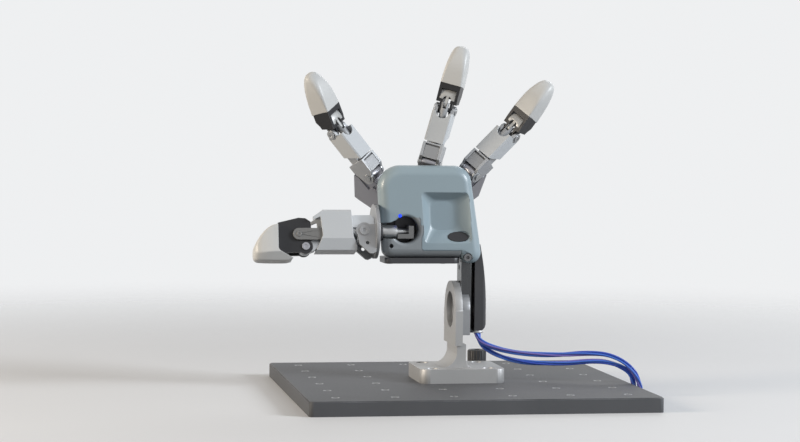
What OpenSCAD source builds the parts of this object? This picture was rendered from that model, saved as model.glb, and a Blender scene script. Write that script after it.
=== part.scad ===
// Dexterous robot hand on a bench stand: three fingers and a thumb on a shell-covered palm, carried by a
// wrist post and an angle bracket on a tapped base plate. Millimetres, +Z up, the plate's underside at z = 0.

/* [Stand] */
// Side of the square base plate
plate_side = 300; // [290:5:320]
// Thickness of the base plate
plate_t = 12.7; // [12:0.1:14]
// Pitch of the tapped holes in the plate
grid_pitch = 50; // [48:1:50]
// Number of holes along each side of the grid
grid_n = 6; // [4:2:6]
// Radius of a tapped hole
grid_hole_r = 2.9; // [2.5:0.1:3.2]
// Thickness of the bracket's foot
foot_t = 12.5; // [10:0.5:14]
// Height of the ring's centre above the floor
ring_z = 75.5; // [73:0.5:78]
// Bore radius of the bracket's ring
ring_bore_r = 16; // [14:0.5:17]

/* [Palm] */
// Height of the palm's bottom edge
palm_z = 122.4; // [122:0.1:123]
// Front of the palm's cover, measured back from the hand's middle plane
palm_front = 22; // [21:0.5:23]
// Radius that rounds the cover's front edge
cover_round = 9; // [6:0.5:10]
// Depth of the scoop in the palm
scoop_depth = 8; // [5:0.5:9]

/* [Fingers] */
// Width of a finger's shell
shell_w = 18.6; // [18.2:0.1:19]
// Knuckle axis to middle joint axis
link_l = 49.5; // [48:0.5:52]
// Middle joint axis to fingertip
tip_l = 57.5; // [56:0.5:60]
// Wall of the moulded shells
wall = 1.6; // [1.2:0.1:1.8]
// Bend of the index finger's middle joint
index_bend = 24; // [0:1:35]
// Bend of the middle finger's middle joint
middle_bend = 9; // [0:1:30]
// Bend of the ring finger's middle joint
ring_bend = 19; // [0:1:30]

/* [Thumb] */
// Height of the thumb's shaft above the floor
thumb_z = 145.3; // [145:0.1:146]
// Roll of the thumb about its shaft
thumb_roll = 15; // [5:1:20]
// Radius of the thumb's yoke disc
yoke_r = 24; // [22:0.5:25]

/* [Wires] */
// Diameter of one strand of four wires
strand_d = 5; // [4:0.5:5]

/* [Hidden] */
$fn = 64;
hull_fn = 28;
eps = 0.01;

// Finger rows: knuckle centre, lean from upright, turn about the finger's own length, bend of the middle
// joint, reach of the carrier behind the knuckle
index_f = [[-74.8, 5, 196.2], -39, 38, index_bend, 28.5];
middle_f = [[-23.5, 5, 206], 15.7, -20.4, middle_bend, 24];
ring_f = [[13.7, 5, 198.7], 44.6, -36.6, ring_bend, 30];

// Finger joints, in the finger's own frame: knuckle axis at the origin, +Z to the tip, -Y to the palm
pin_r = 2;
pin_fit = 0.05;
splay_drop = 17;
splay_r = 3;
knuckle_r = 5.8;
lug_w = 13;
arm_in = 6.8;
arm_out = shell_w / 2;
arm_r = 6;
shell_z0 = 17;
shell_z1 = link_l - 3.5;
hinge_y = 2;
hinge_r = 4.6;
rod_r = 3.3;
rod_y = -4;
horn_r = 6.4;
horn_a = 40;
cap_w = 19.4;
cap_z = 23.4;
shell_front = -9.2;
shell_flat = 7.4;
shell_back = 10.2;

// Thumb: shaft along X, knuckle axis square to it
shaft_y = -13;
shaft_r = 5.75;
thumb_o = [-90, shaft_y, 147];
disc_x = -77;
disc_t = 3;
thumb_w = 28;
t_knuckle = [0, 4, -3];
t_hinge = [0, 17, 48];

// Palm outline, corner discs as [x, z, r]
palm_tl = [-53.1, 183.6, 20];
palm_tr = [-5.4, 187.6, 16];
palm_bl = [-61.5, palm_z + 7.5, 7.5];
palm_br = [6, palm_z + 9, 9];
palm_lobe = [9.9, 127, 9.8];
cover_back = -8;
plate_y = [-7.7, -4.7];
core_y = [-4.7, 12];
thumb_hole = [-49.2, 147.2, 11.8];

// Route of the wires from the gland to the plug, and how the two strands lie beside and above it
wire_route = [
  [20.3, 0, 53], [21.8, -1, 48.5], [26, -3, 43.5], [33, -5, 39.5], [41, -8, 36.5], [50, -11, 34.3],
  [59, -14, 33], [68, -17, 32.4], [78, -20, 32.2], [88, -23, 32.4], [98, -26, 33], [108, -29, 34],
  [118, -32, 34.6], [128, -35, 34.2], [137, -38, 32], [145, -40, 28], [151.5, -41, 22.5], [155.5, -40, 15.5],
  [158, -37, 9], [160, -31, 4.6], [161.5, -21, 2.8], [162, -10, 2.6], [162, 2, 2.6], [162.5, 14, 2.6],
  [163, 26, 2.6], [163, 38, 2.6], [162.5, 50, 2.6], [162, 62, 2.6], [162, 74, 2.6], [162.5, 86, 2.6],
  [163, 98, 2.6], [163, 110, 2.6], [162.5, 122, 2.6], [161.5, 134, 2.6], [159, 145, 2.6], [154, 154.5, 2.6],
  [146, 161, 2.6], [136, 164.5, 2.6], [126, 166, 2.6], [116, 166, 2.6]
];
wire_split = [
  [2.6, 0], [2.5, 0.8], [2.1, 1.7], [1.5, 2.5], [0.9, 3.1], [0.4, 3.5], [0, 3.7], [0, 3.8], [0, 3.8],
  [0, 3.8], [0, 3.8], [0, 3.7], [0, 3.5], [0, 3.3], [0.8, 3], [1.5, 2.4], [2.2, 1.5], [2.6, 0.6], [2.7, 0]
];
plug_size = [20, 15, 8];

// ---- shared forms ----

// A profile drawn in Y and Z, extruded across X
module x_prism(w, x = 0) {
  translate([x, 0, 0]) rotate([90, 0, 90]) linear_extrude(height = w, center = true) children();
}

// A profile drawn in X and Z, extruded from y0 to y1
module y_prism(y0, y1) {
  translate([0, y1, 0]) rotate([90, 0, 0]) linear_extrude(height = y1 - y0) children();
}

module x_rod(r, w, x = 0) {
  translate([x, 0, 0]) rotate([0, 90, 0]) cylinder(r = r, h = w, center = true);
}

module y_rod(r, y0, y1) {
  translate([0, y1, 0]) rotate([90, 0, 0]) cylinder(r = r, h = y1 - y0);
}

module mirrored_x() {
  children();
  mirror([1, 0, 0]) children();
}

module rounded_square(w, d, r) {
  square([w - 2 * r, d], center = true);
  square([w, d - 2 * r], center = true);
  for (x = [-1, 1], y = [-1, 1]) translate([x * (w / 2 - r), y * (d / 2 - r)]) circle(r = r);
}

// A socket-head screw: head of radius r, its top at z = 0 and its shank down -Z
module socket_screw(r, head_h, shank_r, shank_l) {
  difference() {
    union() {
      translate([0, 0, -head_h]) cylinder(r = r, h = head_h);
      translate([0, 0, -head_h - shank_l]) cylinder(r = shank_r, h = shank_l + eps);
    }
    translate([0, 0, -head_h * 0.6]) cylinder(r = r * 0.5, h = head_h, $fn = 6);
  }
}

// A solid that blends through stations [z, y0, y1, width, corner radius]
module lofted(stations) {
  hull() for (s = stations, x = [-1, 1], y = [s[1] + s[4], s[2] - s[4]])
    translate([x * (s[3] / 2 - s[4]), y, s[0]]) sphere(r = s[4], $fn = hull_fn);
}

// ---- stand ----

module base_plate() {
  edge = 0.8;
  reach = (grid_n - 1) / 2;
  color("dimgray") difference() {
    union() {
      linear_extrude(height = plate_t - edge) rounded_square(plate_side, plate_side, 4);
      linear_extrude(height = plate_t) rounded_square(plate_side - 2 * edge, plate_side - 2 * edge, 4);
    }
    for (i = [-reach : reach], j = [-reach : reach])
      translate([i * grid_pitch, j * grid_pitch, -1]) cylinder(r = grid_hole_r, h = plate_t + 2);
    translate([knob_at[0], knob_at[1], 4]) cylinder(r = 3, h = plate_t);
  }
}

foot = [76, 70, 8.5];
foot_x = 1.2;
foot_top = plate_t + foot_t;
ring_x = [-4.8, 1.8];
web_x = [-2.6, 5.6];
ring_r = 25.4;
knob_at = [30, 47];

module bracket_web() {
  left_r = 14;
  right_r = 6;
  y_prism(-23, 23) difference() {
    union() {
      translate([web_x[0], foot_top - 1]) square([web_x[1] - web_x[0], 47 - foot_top]);
      translate([web_x[0] - left_r, foot_top - 1]) square([left_r + 1, left_r + 1]);
      translate([web_x[1] - 1, foot_top - 1]) square([right_r + 1, right_r + 1]);
    }
    translate([web_x[0] - left_r, foot_top + left_r]) circle(r = left_r);
    translate([web_x[1] + right_r, foot_top + right_r]) circle(r = right_r);
  }
}

module stand_bracket() {
  half = 26.8;
  color("tan") difference() {
    union() {
      translate([foot_x, 0, plate_t]) linear_extrude(height = foot_t)
        rounded_square(foot[0], foot[1], foot[2]);
      bracket_web();
      x_prism(ring_x[1] - ring_x[0], (ring_x[0] + ring_x[1]) / 2) union() {
        translate([0, ring_z]) circle(r = ring_r);
        translate([-half, 45]) square([2 * half, ring_z - 45]);
      }
    }
    translate([0, 0, ring_z]) x_rod(ring_bore_r, 30);
    for (x = [-1, 1], y = [-1, 1]) translate([x * grid_pitch / 2, y * grid_pitch / 2, 0]) {
      translate([0, 0, plate_t - 1]) cylinder(r = 3.3, h = foot_t + 2);
      translate([0, 0, foot_top - 7.5]) cylinder(r = 5.5, h = 9);
    }
  }
}

// The cap screws of the foot, the corner screw of the palm, and the screws of the back and bottom covers
module cap_screws() {
  color("silver") {
    for (x = [-1, 1], y = [-1, 1]) translate([x * grid_pitch / 2, y * grid_pitch / 2, foot_top - 1.5])
      socket_screw(5, 6, 2.85, 11);
    translate([lobe_screw[0], -palm_front + 0.6, lobe_screw[1]]) rotate([90, 0, 0])
      socket_screw(3.4, 3, 1.9, 9);
    for (x = [-46, -8]) translate([x, core_y[1] + 11.6, 145]) rotate([-90, 0, 0])
      socket_screw(2.8, 2, 1.4, 0.5);
    for (x = [-60, -12]) translate([x, 0, palm_z - 6.3]) rotate([180, 0, 0]) socket_screw(2.8, 1.2, 1.5, 4.5);
  }
}

// A knurled knob on a stud, standing on the plate behind the foot
module stop_knob() {
  flutes = 20;
  knob_r = 8.6;
  top = 34.4;
  color("dimgray") translate([knob_at[0], knob_at[1], 0]) difference() {
    union() {
      translate([0, 0, 5]) cylinder(r = 2.95, h = 10);
      translate([0, 0, plate_t]) cylinder(r = knob_r, h = top - plate_t - 1);
      translate([0, 0, top - 1 - eps]) cylinder(r1 = knob_r, r2 = knob_r - 1, h = 1);
    }
    for (i = [0 : flutes - 1]) rotate(i * 360 / flutes) translate([knob_r + 0.3, 0, plate_t + 1.5])
      cylinder(r = 0.9, h = 30);
    translate([0, 0, top - 1.5]) cylinder(r = knob_r - 3.4, h = 2);
  }
}

// ---- wrist ----

post_x = [3.2, 15.2];
cover_x = [15.4, 26.4];

// The clamp that holds the post against the ring, with a short spigot in the ring's bore
module wrist_flange() {
  r = 16.5;
  color("lightgray") difference() {
    union() {
      x_prism(8.6, ring_x[1] + 4.3) union() {
        translate([0, ring_z]) circle(r = r);
        translate([-r, 53.5]) square([2 * r, ring_z - 53.5]);
      }
      translate([0, 0, ring_z]) x_rod(ring_bore_r - 0.05, 2, ring_x[1] - 1 + eps);
    }
    translate([0, 0, ring_z]) x_rod(11, 60);
    translate([post_x[0] - 0.1, -9.1, 40]) cube([12.2, 18.2, 80]);
  }
}

// The post that carries the hand, a bar with one rounded edge and a foot that the flange wraps
module wrist_post() {
  post_d = 18;
  edge_r = 4;
  x0 = post_x[0];
  x1 = post_x[1];
  color("silver") translate([0, 0, 55]) difference() {
    linear_extrude(height = 88) union() {
      translate([x0, -post_d / 2 + edge_r]) square([x1 - x0, post_d - 2 * edge_r]);
      translate([x0, -post_d / 2]) square([x1 - x0 - edge_r, post_d]);
      for (y = [-1, 1]) translate([x1 - edge_r, y * (post_d / 2 - edge_r)]) circle(r = edge_r);
    }
    translate([0, 0, ring_z - 55]) x_rod(7, 60);
    for (z = [44, 58]) translate([x0 - eps, 0, z]) rotate([0, 90, 0]) cylinder(r = 2.5, h = 1.2);
  }
}

// A moulded cover over the post's wiring, with a slightly bowed outer side
module wrist_cover() {
  bow_r = 340;
  z0 = 57;
  z1 = 134;
  color([0.13, 0.13, 0.14]) difference() {
    intersection() {
      translate([0, 0, z0]) linear_extrude(height = z1 - z0) union() {
        translate([cover_x[0], -11]) square([8, 22]);
        translate([cover_x[0], -7]) square([cover_x[1] - cover_x[0], 14]);
        for (y = [-1, 1]) translate([cover_x[1] - 4, y * 7]) circle(r = 4);
      }
      translate([cover_x[1] - bow_r, 0, 68]) y_rod(bow_r, -20, 20, $fn = 200);
      y_prism(-12, 12) union() {
        translate([cover_x[0] - 1, z0 + 5]) square([20, 90]);
        translate([cover_x[0] - 1, z0]) square([8, 90]);
        translate([cover_x[1] - 6.5, z0 + 6]) circle(r = 6);
      }
    }
    translate([20.3, 0, z0 - 1]) cylinder(r = 4.6, h = 14);
  }
}

// A ferrule that the wires leave through
module wire_gland() {
  color("silver") translate([20.3, 0, 0]) rotate_extrude() polygon([
    [0, 54.2], [4.6, 54.2], [5.2, 54.8], [5.2, 56.9], [4.5, 56.9], [4.5, 66], [0, 66]
  ]);
}

// ---- palm ----

// One corner of the palm's cover: a disc whose front edge is rounded
module cover_corner(c, front, back, rounding) {
  steps = 5;
  for (i = [0 : steps]) {
    a = 90 * i / steps;
    translate([c[0], 0, c[1]])
      y_rod(c[2] - min(rounding, c[2]) * (1 - cos(a)), front + rounding * (1 - sin(a)), back, $fn = 72);
  }
}

module cover_form(front, back, rounding) {
  hull() for (c = [palm_tl, palm_tr, palm_bl, palm_br]) cover_corner(c, front, back, rounding);
  hull() for (c = [palm_tr, palm_lobe]) cover_corner(c, front, back, rounding);
}

lobe_screw = [palm_lobe[0] - 3.2, palm_lobe[1] - 4.2];

// The part of the palm's face below the seam, grown by a gap: it also rims the arch's lower right side
module panel_region(gap) {
  y_prism(-40, 40) union() {
    intersection() {
      translate([thumb_hole[0], thumb_hole[1]]) circle(r = thumb_hole[2] + 4 + gap);
      translate([-50 - gap, 120]) square([14 + 2 * gap, 38]);
    }
    intersection() {
      translate([thumb_hole[0], thumb_hole[1]]) circle(r = thumb_hole[2] + 4 + gap);
      translate([-90, 120]) square([70, 31]);
    }
    translate([-90, 110]) square([90 - 34.9 + gap, 38]);
    translate([-90, 110]) square([90 + 0.8 + gap, 18.5 + gap]);
    translate([-36, 128]) difference() {
      square([4.1, 3.5]);
      translate([4.1, 3.5]) circle(r = 3 - gap);
    }
  }
}

// The arch that shows the thumb's shaft: a hole with a chamfered rim, open through the palm's left side
module thumb_opening() {
  rim = 3;
  front = -palm_front;
  y_prism(-40, 40) union() {
    translate([thumb_hole[0], thumb_hole[1]]) circle(r = thumb_hole[2]);
    translate([-90, thumb_z - 6.2]) square([90 + thumb_hole[0], 14]);
    polygon([[-71, 153], [-63, 153.7], [-57.5, 155.6], [-50, 148], [-71, 148]]);
  }
  translate([0, shaft_y, thumb_z]) x_rod(8.3, 9, -71.5);
  translate([thumb_hole[0], front - 1, thumb_hole[1]]) rotate([-90, 0, 0])
    cylinder(r1 = thumb_hole[2] + rim + 1, r2 = thumb_hole[2] - 0.2, h = rim + 1.2);
}

// A scoop for a fingertip: sloping side walls, a bowed floor, a rounded top and a flat ramp at the bottom
module palm_scoop() {
  half = 21.2;
  floor_r = 42;
  mid_x = -12.3;
  front = -palm_front;
  deep = front + scoop_depth;
  intersection() {
    translate([mid_x + 3, deep - floor_r, 120]) cylinder(r = floor_r, h = 80, $fn = 120);
    translate([mid_x, 0, 120]) linear_extrude(height = 80) polygon([
      [-half - 3, front - 4], [-half, front], [-half + 9.5, deep], [half - 6, deep], [half, front],
      [half + 3, front - 4]
    ]);
    y_prism(-60, 0) translate([mid_x, 158.2]) rounded_square(2 * half + 6, 43.4, 9);
    x_prism(120) polygon([
      [-60, 110], [-60, 190], [front - 1, 190], [front, 180], [deep, 173], [deep + 1, 173],
      [deep + 1, 147.6], [front - 1, 135.2], [front - 1, 110]
    ]);
  }
}

module window_place() {
  translate([-1.5, -palm_front + 3.3, 141.2]) rotate([54, 0, 0]) children();
}

module lens_outline() {
  scale([1, 0.55, 1]) children();
}

// The room that the post and its cover take in the palm
module wrist_room() {
  translate([post_x[0] - 0.2, -9.2, 110]) cube([cover_x[0] - post_x[0], 18.4, 33.3]);
  translate([cover_x[0] - 0.2, -11.2, 110]) cube([20, 22.4, 24.3]);
}

module palm_shell() {
  difference() {
    cover_form(-palm_front, cover_back, cover_round);
    wrist_room();
    thumb_opening();
    palm_scoop();
    window_place() lens_outline() translate([0, 0, -2.4]) cylinder(r = 9.5, h = 6);
    translate([lobe_screw[0], 0, lobe_screw[1]]) y_rod(3.8, -40, -palm_front + 3.6);
    translate([lobe_screw[0], 0, lobe_screw[1]]) y_rod(2, -40, 0);
    translate([led_at[0], 0, led_at[1]]) y_rod(1.6, -40, 0);
  }
}

module palm_cover() {
  color([0.64, 0.7, 0.73]) difference() {
    palm_shell();
    panel_region(0.3);
  }
}

module lower_panel() {
  color([0.6, 0.64, 0.66]) difference() {
    intersection() {
      palm_shell();
      panel_region(0);
    }
    translate([-61.8, 0, 132.9]) y_rod(1.9, -40, -12);
  }
}

// The lens of the camera in the palm, set in the ramp below the scoop
module camera_window() {
  color([0.05, 0.05, 0.06]) window_place() lens_outline() translate([0, 0, -2.3]) cylinder(r = 9.3, h = 2.1);
}

led_at = [-54.4, 159.4];

module status_light() {
  color("blue") translate([led_at[0], 0, led_at[1]]) {
    y_rod(1.6, -20.8, -9);
    translate([0, -20.8, 0]) rotate([90, 0, 0]) cylinder(r1 = 1.6, r2 = 0.9, h = 0.6);
  }
}

// Where a finger's splay axis stands in the palm
function splay_at(f) = f[0] + [-splay_drop * sin(f[1]), 0, -splay_drop * cos(f[1])];

// A plate behind the covers that carries the splay axles, with the core that holds the drives
module palm_chassis() {
  color("gray") difference() {
    union() {
      hull() for (c = [palm_tl, palm_tr, palm_bl, palm_br])
        translate([c[0], 0, c[1]]) y_rod(c[2] - 5, plate_y[0], plate_y[1]);
      translate([-62, core_y[0] - eps, 127.5]) cube([70, core_y[1] - core_y[0] + eps, 36]);
      for (f = [index_f, middle_f, ring_f]) translate(splay_at(f)) translate([0, -f[0][1], 0]) {
        y_rod(splay_r, plate_y[0] + 1, 20);
        y_rod(6, plate_y[0], plate_y[1] + 1.2);
      }
      translate([3.4, -4, 127.5]) cube([11.6, 8, 14]);
    }
    y_prism(-60, 0) translate([thumb_hole[0], thumb_hole[1]]) circle(r = thumb_hole[2] + 1);
    y_prism(-60, core_y[0]) translate([-90, thumb_z - 10]) square([90 + thumb_hole[0], 20]);
    translate([post_x[0] - 0.1, -9.1, 120]) cube([12.2, 18.2, 23.1]);
    translate([-67, -5, thumb_z - 10]) cube([12, 8, 20]);
  }
}

// The moulded cover of the back of the hand
module back_cover() {
  corners = [[-54, 150, 12], [0, 150, 12], [-54, 140, 12], [0, 140, 12]];
  color([0.64, 0.7, 0.73]) difference() {
    hull() for (c = corners, i = [0 : 4]) translate([c[0], 0, c[1]])
      y_rod(c[2] - 8 * (1 - cos(22.5 * i)), core_y[1] - 8, core_y[1] + 4 + 8 * sin(22.5 * i), $fn = 48);
    translate([-62.2, -5, 125]) cube([70.4, core_y[1] + 5.2, 40]);
    wrist_room();
    for (x = [-46, -8]) translate([x, 0, 145]) y_rod(3, core_y[1] + 9.5, 40);
  }
}

// The black plate under the palm
module bottom_plate() {
  color([0.1, 0.1, 0.11]) translate([0, 0, palm_z - 5.1]) difference() {
    translate([-33.4, -1.5, 0]) linear_extrude(height = 5) rounded_square(66.8, 37, 6);
    translate([0, 0, 1]) translate([-80, -15, 4.5]) cube([100, 30, 5]);
    for (x = [-60, -12]) translate([x, 0, -1]) cylinder(r = 1.7, h = 8);
  }
}

// The bracket in the palm that holds the shaft's inner end and shows through the arch
module thumb_mount() {
  color("gray") difference() {
    union() {
      translate([-55.8, -19, thumb_z - 5.9]) cube([14.2, 11, 3.8]);
      translate([-46, -19, thumb_z - 5.9]) cube([4.4, 14.2, 11]);
      translate([-46, -8, thumb_z - 5.9]) cube([4.4, 3.3, 11]);
    }
    translate([0, shaft_y, thumb_z]) x_rod(2.6, 300);
  }
}

module thumb_bushing() {
  color([0.1, 0.1, 0.11]) difference() {
    union() {
      translate([0, shaft_y, thumb_z]) x_rod(8, 3, -70.7);
      translate([-72.2, shaft_y, thumb_z - 5]) cube([3, 8.3, 10]);
      translate([-72.2, -7.6, thumb_z - 5]) cube([14, 2.9, 10]);
    }
    translate([0, shaft_y, thumb_z]) x_rod(shaft_r + pin_fit, 40, -70);
  }
}

// ---- thumb ----

module at_thumb() {
  translate(thumb_o) rotate([-(90 + thumb_roll), 0, 0]) rotate([0, -90, 0]) children();
}

module at_thumb_tip() {
  at_thumb() translate(t_hinge) children();
}

module thumb_shaft() {
  color("silver") translate([0, shaft_y, thumb_z]) difference() {
    union() {
      translate([disc_x + disc_t, 0, 0]) rotate([0, 90, 0]) cylinder(r = shaft_r, h = 18);
      translate([-58, 0, 0]) rotate([0, 90, 0]) cylinder(r = 2.55, h = 16);
    }
    translate([-56.4, 0, 0]) rotate([0, 90, 0]) difference() {
      cylinder(r = 7, h = 1);
      translate([0, 0, -1]) cylinder(r = shaft_r - 0.5, h = 3);
    }
  }
}

// The yoke that turns with the shaft: a disc with two cheeks that fan out to the knuckle pin
module thumb_yoke() {
  cheek_w = 2.6;
  cheek_x = thumb_w / 2 - cheek_w / 2 + 0.8;
  color("lightgray") {
    translate([disc_x, shaft_y, thumb_z]) rotate([0, 90, 0]) cylinder(r = yoke_r, h = disc_t);
    at_thumb() mirrored_x() difference() {
      x_prism(cheek_w, cheek_x) difference() {
        union() {
          translate([t_knuckle[1], t_knuckle[2]]) circle(r = 7.2);
          polygon([[-1.5, -6.5], [-2, -13.01], [23, -13.01], [24.4, -10], [24, -7.5], [16, 1.5], [8, 3]]);
        }
        translate([15, -5.5]) circle(r = 1.6);
      }
      translate(t_knuckle) x_rod(pin_r + 0.5, 60);
    }
  }
}

// The drive block of the knuckle, held between the cheeks
module thumb_block() {
  color("gray") at_thumb() difference() {
    x_prism(17.4) polygon([
      [-11, -9.8], [-11, 4.8], [-9.5, 6.6], [3, 6.6], [10.5, 1.5], [13.5, -4], [13.5, -12.8], [-8, -12.8]
    ]);
    translate(t_knuckle) x_rod(pin_r + 0.5 + pin_fit, 60);
    for (x = [-5, 5], z = [-7.5, 2.5]) translate([x, -10.4, z]) y_rod(1.2, -2, 1.5);
  }
}

module thumb_knuckle_pin() {
  color("silver") at_thumb() translate(t_knuckle) {
    x_rod(pin_r + 0.5 - pin_fit, thumb_w + 2.4);
    mirrored_x() difference() {
      x_rod(4.2, 1.2, thumb_w / 2 + 1.5);
      x_rod(2, 2, thumb_w / 2 + 2.2, $fn = 6);
    }
  }
}

// The thumb's middle body: arms from the knuckle, a drive block and the spine that ends in the hinge lug
module thumb_frame() {
  hinge = [t_hinge[1], t_hinge[2]];
  color("silver") at_thumb() difference() {
    union() {
      mirrored_x() x_prism(2.4, 10.3) union() {
        translate([t_knuckle[1], t_knuckle[2]]) circle(r = 6.6);
        polygon([[-12, 9.5], [-3.4, -3], [10.6, -3], [12, 2], [12, 9.5]]);
      }
      intersection() {
        x_prism(22.9) polygon([[-12.8, 9], [-12.8, 21], [16, 26], [17, 9]]);
        linear_extrude(height = 40) thumb_section(wall + 0.2);
      }
      x_prism(10) union() {
        polygon([
          [9.5, 20], [10.8, hinge[1]], [22.8, hinge[1]], [19.6, 39.6], [18.3, 38.4], [17.5, 20]
        ]);
        translate(hinge) circle(r = 6);
      }
    }
    translate(t_knuckle) x_rod(17.4, 17.8);
    translate(t_knuckle) x_rod(pin_r + 0.5 + pin_fit, 60);
    translate(t_hinge) x_rod(pin_r + pin_fit, 40);
    translate([-10.7, 6.3, 18]) cube([3.2, 11.2, 30], center = true);
  }
}

module thumb_section(inset) {
  h = thumb_w / 2 - inset;
  top = -15 + inset;
  low = 20.4 - inset;
  polygon([
    [-h + 1.6, top], [h - 1.6, top], [h, top + 1.6], [h, 10.8], [h - 4.2, low], [-h + 4.2, low],
    [-h, 10.8], [-h, top + 1.6]
  ]);
}

// The thumb's shell, open at both ends, with pointed ears at the hinge end
module thumb_shell() {
  color([0.74, 0.76, 0.78]) at_thumb() intersection() {
    difference() {
      linear_extrude(height = 50) thumb_section(0);
      translate([0, 0, -1]) linear_extrude(height = 60) thumb_section(wall);
    }
    x_prism(60) polygon([
      [-20, 8.3], [-20, 32], [-14.6, 33], [-8.2, 42], [-5.6, 42], [-8.5, 35.2], [8, 33.4],
      [16.6, 37], [24, 40.5], [24, 2.5], [17, 3], [9, 6.4]
    ]);
  }
}

// The flat link that swings the thumb's tip; it slides along the front of the frame
module thumb_link() {
  color("silver") at_thumb() difference() {
    x_prism(2.4, -10.7) union() {
      translate([1.2, 28]) square([10.4, 26]);
      translate([6.4, 54]) circle(r = 5.2);
    }
    translate([0, 6.4, 54]) x_rod(1.9, 40);
  }
}

module thumb_hinge_pin() {
  color("silver") at_thumb_tip() {
    x_rod(pin_r - pin_fit, 18.6);
    mirrored_x() difference() {
      x_rod(3.4, 1.2, 9.9);
      x_rod(1.7, 2, 10.9, $fn = 6);
    }
  }
}

// The black fork that carries the thumb's cap: two cheeks round the lug, joined on the palm side
module thumb_fork() {
  color([0.12, 0.12, 0.13]) at_thumb_tip() difference() {
    union() {
      mirrored_x() x_prism(3.8, 7.3) union() {
        circle(r = 6.2);
        polygon([
          [-21, 24], [-25.4, 6], [-25, 0], [-22, -4.5], [-16, -5], [-8, -3.5], [-2, -5.5], [5, 3], [5.5, 24]
        ]);
      }
      x_prism(11) polygon([
        [-21, 24], [-25.4, 6], [-25, 0], [-22, -4.5], [-20, -4.5], [-21.5, 5], [-14, 14], [5.5, 14], [5.5, 24]
      ]);
      translate([-8, -13, 24 - eps]) cube([16, 13, 7]);
    }
    x_rod(pin_r, 40);
    translate([0, -11, 6]) x_rod(1.2, 40);
  }
}

// The thumb's cap: flat sides, a faceted back and a rounded end, with a tail over each side of the fork
module thumb_cap() {
  // height along the tip, palm edge, side's lower edge, back, half width, half width of the back, radius
  rows = [
    [26, -19.5, 5, 12, 13, 7.5, 2.2], [33, -16, 5.5, 12.2, 12.6, 7.5, 3],
    [38.6, -9, 6, 12, 11, 6, 3.6], [41.4, -1, 5, 10, 8, 4, 3.6]
  ];
  color([0.78, 0.78, 0.76]) at_thumb_tip() difference() {
    union() {
      difference() {
        hull() for (r = rows, x = [-1, 1]) {
          translate([x * (r[4] - r[6]), r[1] + r[6], r[0]]) sphere(r = r[6], $fn = 24);
          translate([x * (r[4] - r[6]), r[2] - r[6], r[0]]) sphere(r = r[6], $fn = 24);
          translate([x * (r[5] - r[6] / 2), r[3] - r[6], r[0]]) sphere(r = r[6], $fn = 24);
        }
        translate([-20, -40, 14]) cube([40, 80, 10.2]);
      }
      x_prism(22) polygon([[3.4, 24.4], [5.5, 20.8], [10.4, 10.6], [11.9, 16], [11.9, 24.4]]);
    }
    translate([-8.3, -13.3, 20]) cube([16.6, 13.6, 11.4]);
    translate([-9.3, -10, 8]) cube([18.6, 18, 16.2]);
  }
}

// ---- fingers ----

module at_splay(f) {
  translate(f[0]) rotate([0, f[1], 0]) children();
}

module at_finger(f) {
  at_splay(f) rotate([0, 0, f[2]]) children();
}

module at_tip(f) {
  at_finger(f) translate([0, hinge_y, link_l]) rotate([f[3], 0, 0]) children();
}

// The carrier swings on the splay axle and holds the knuckle's drive behind it
module carrier(f) {
  d = f[4];
  color([0.45, 0.44, 0.46]) difference() {
    union() {
      at_finger(f) x_prism(lug_w) union() {
        circle(r = knuckle_r);
        polygon([[-2.2, 0], [5.7, 0], [10, 5], [10, -12], [-1.5, -12]]);
      }
      at_finger(f) x_prism(16.4) polygon([
        [9.4, 4.4], [12, 8.6], [d, -8.2], [d - 1.5, -12.5], [d * 0.73, -25.5], [3, -27], [3, -9.5], [9, -9.5]
      ]);
      at_splay(f) translate([0, 0, -splay_drop]) y_rod(8.2, -7.6, 5);
    }
    at_finger(f) x_rod(pin_r, 40);
    at_splay(f) translate([0, 0, -splay_drop]) y_rod(splay_r + pin_fit, -40, 60);
  }
}

module knuckle_pin(f) {
  color("silver") at_finger(f) {
    x_rod(pin_r - pin_fit, 2 * arm_out + 1.2);
    mirrored_x() x_rod(3.4, 1, arm_out + 0.7);
  }
}

// The frame is a stirrup: two arms from the knuckle, a cross plate, and cheeks that end in hinge ears
module frame(f) {
  arm_w = arm_out - arm_in;
  color("silver") at_finger(f) difference() {
    union() {
      mirrored_x() x_prism(arm_w, (arm_in + arm_out) / 2) union() {
        circle(r = arm_r);
        polygon([[-arm_r, 0], [-8.8, 4], [-8.8, shell_z0], [9.4, shell_z0], [9.4, 10], [arm_r, 0]]);
      }
      translate([0, 0.3, shell_z0 - 0.6]) cube([2 * arm_out, 18.2, 1.2], center = true);
      mirrored_x() x_prism(1.2, arm_in - 0.2) polygon([
        [-2.5, shell_z0 - 1], [-2.5, link_l], [6.3, link_l], [6.3, shell_z0 - 1]
      ]);
      mirrored_x() x_prism(arm_out - 6.7, (arm_out + 6.7) / 2) union() {
        translate([hinge_y, link_l]) circle(r = hinge_r);
        translate([hinge_y - hinge_r, shell_z1 + 0.2]) square([2 * hinge_r, link_l - shell_z1 - 0.2]);
      }
    }
    x_rod(pin_r + pin_fit, 60);
    translate([0, hinge_y, link_l]) x_rod(pin_r, 60);
    translate([0, -1, shell_z0]) cylinder(r = 5.4, h = 10, center = true);
  }
}

// The knuckle's drive: a block between the arms and a barrel that reaches into the shell
module actuator(f) {
  half = arm_in - 0.3;
  color("gray") at_finger(f) difference() {
    union() {
      x_prism(2 * half) polygon([
        [-8.4, 3.4], [-8.4, 14], [-7, shell_z0 - 1.3], [8, shell_z0 - 1.3], [9, 14], [9, 8.5], [2, 4]
      ]);
      translate([0, -1, shell_z0 - 3]) cylinder(r = 5.3, h = 9);
      translate([0, rod_y + 1.9, shell_z0 + 5]) cylinder(r = 3, h = 3);
    }
    x_rod(knuckle_r + 0.35, 60);
  }
}

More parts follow.
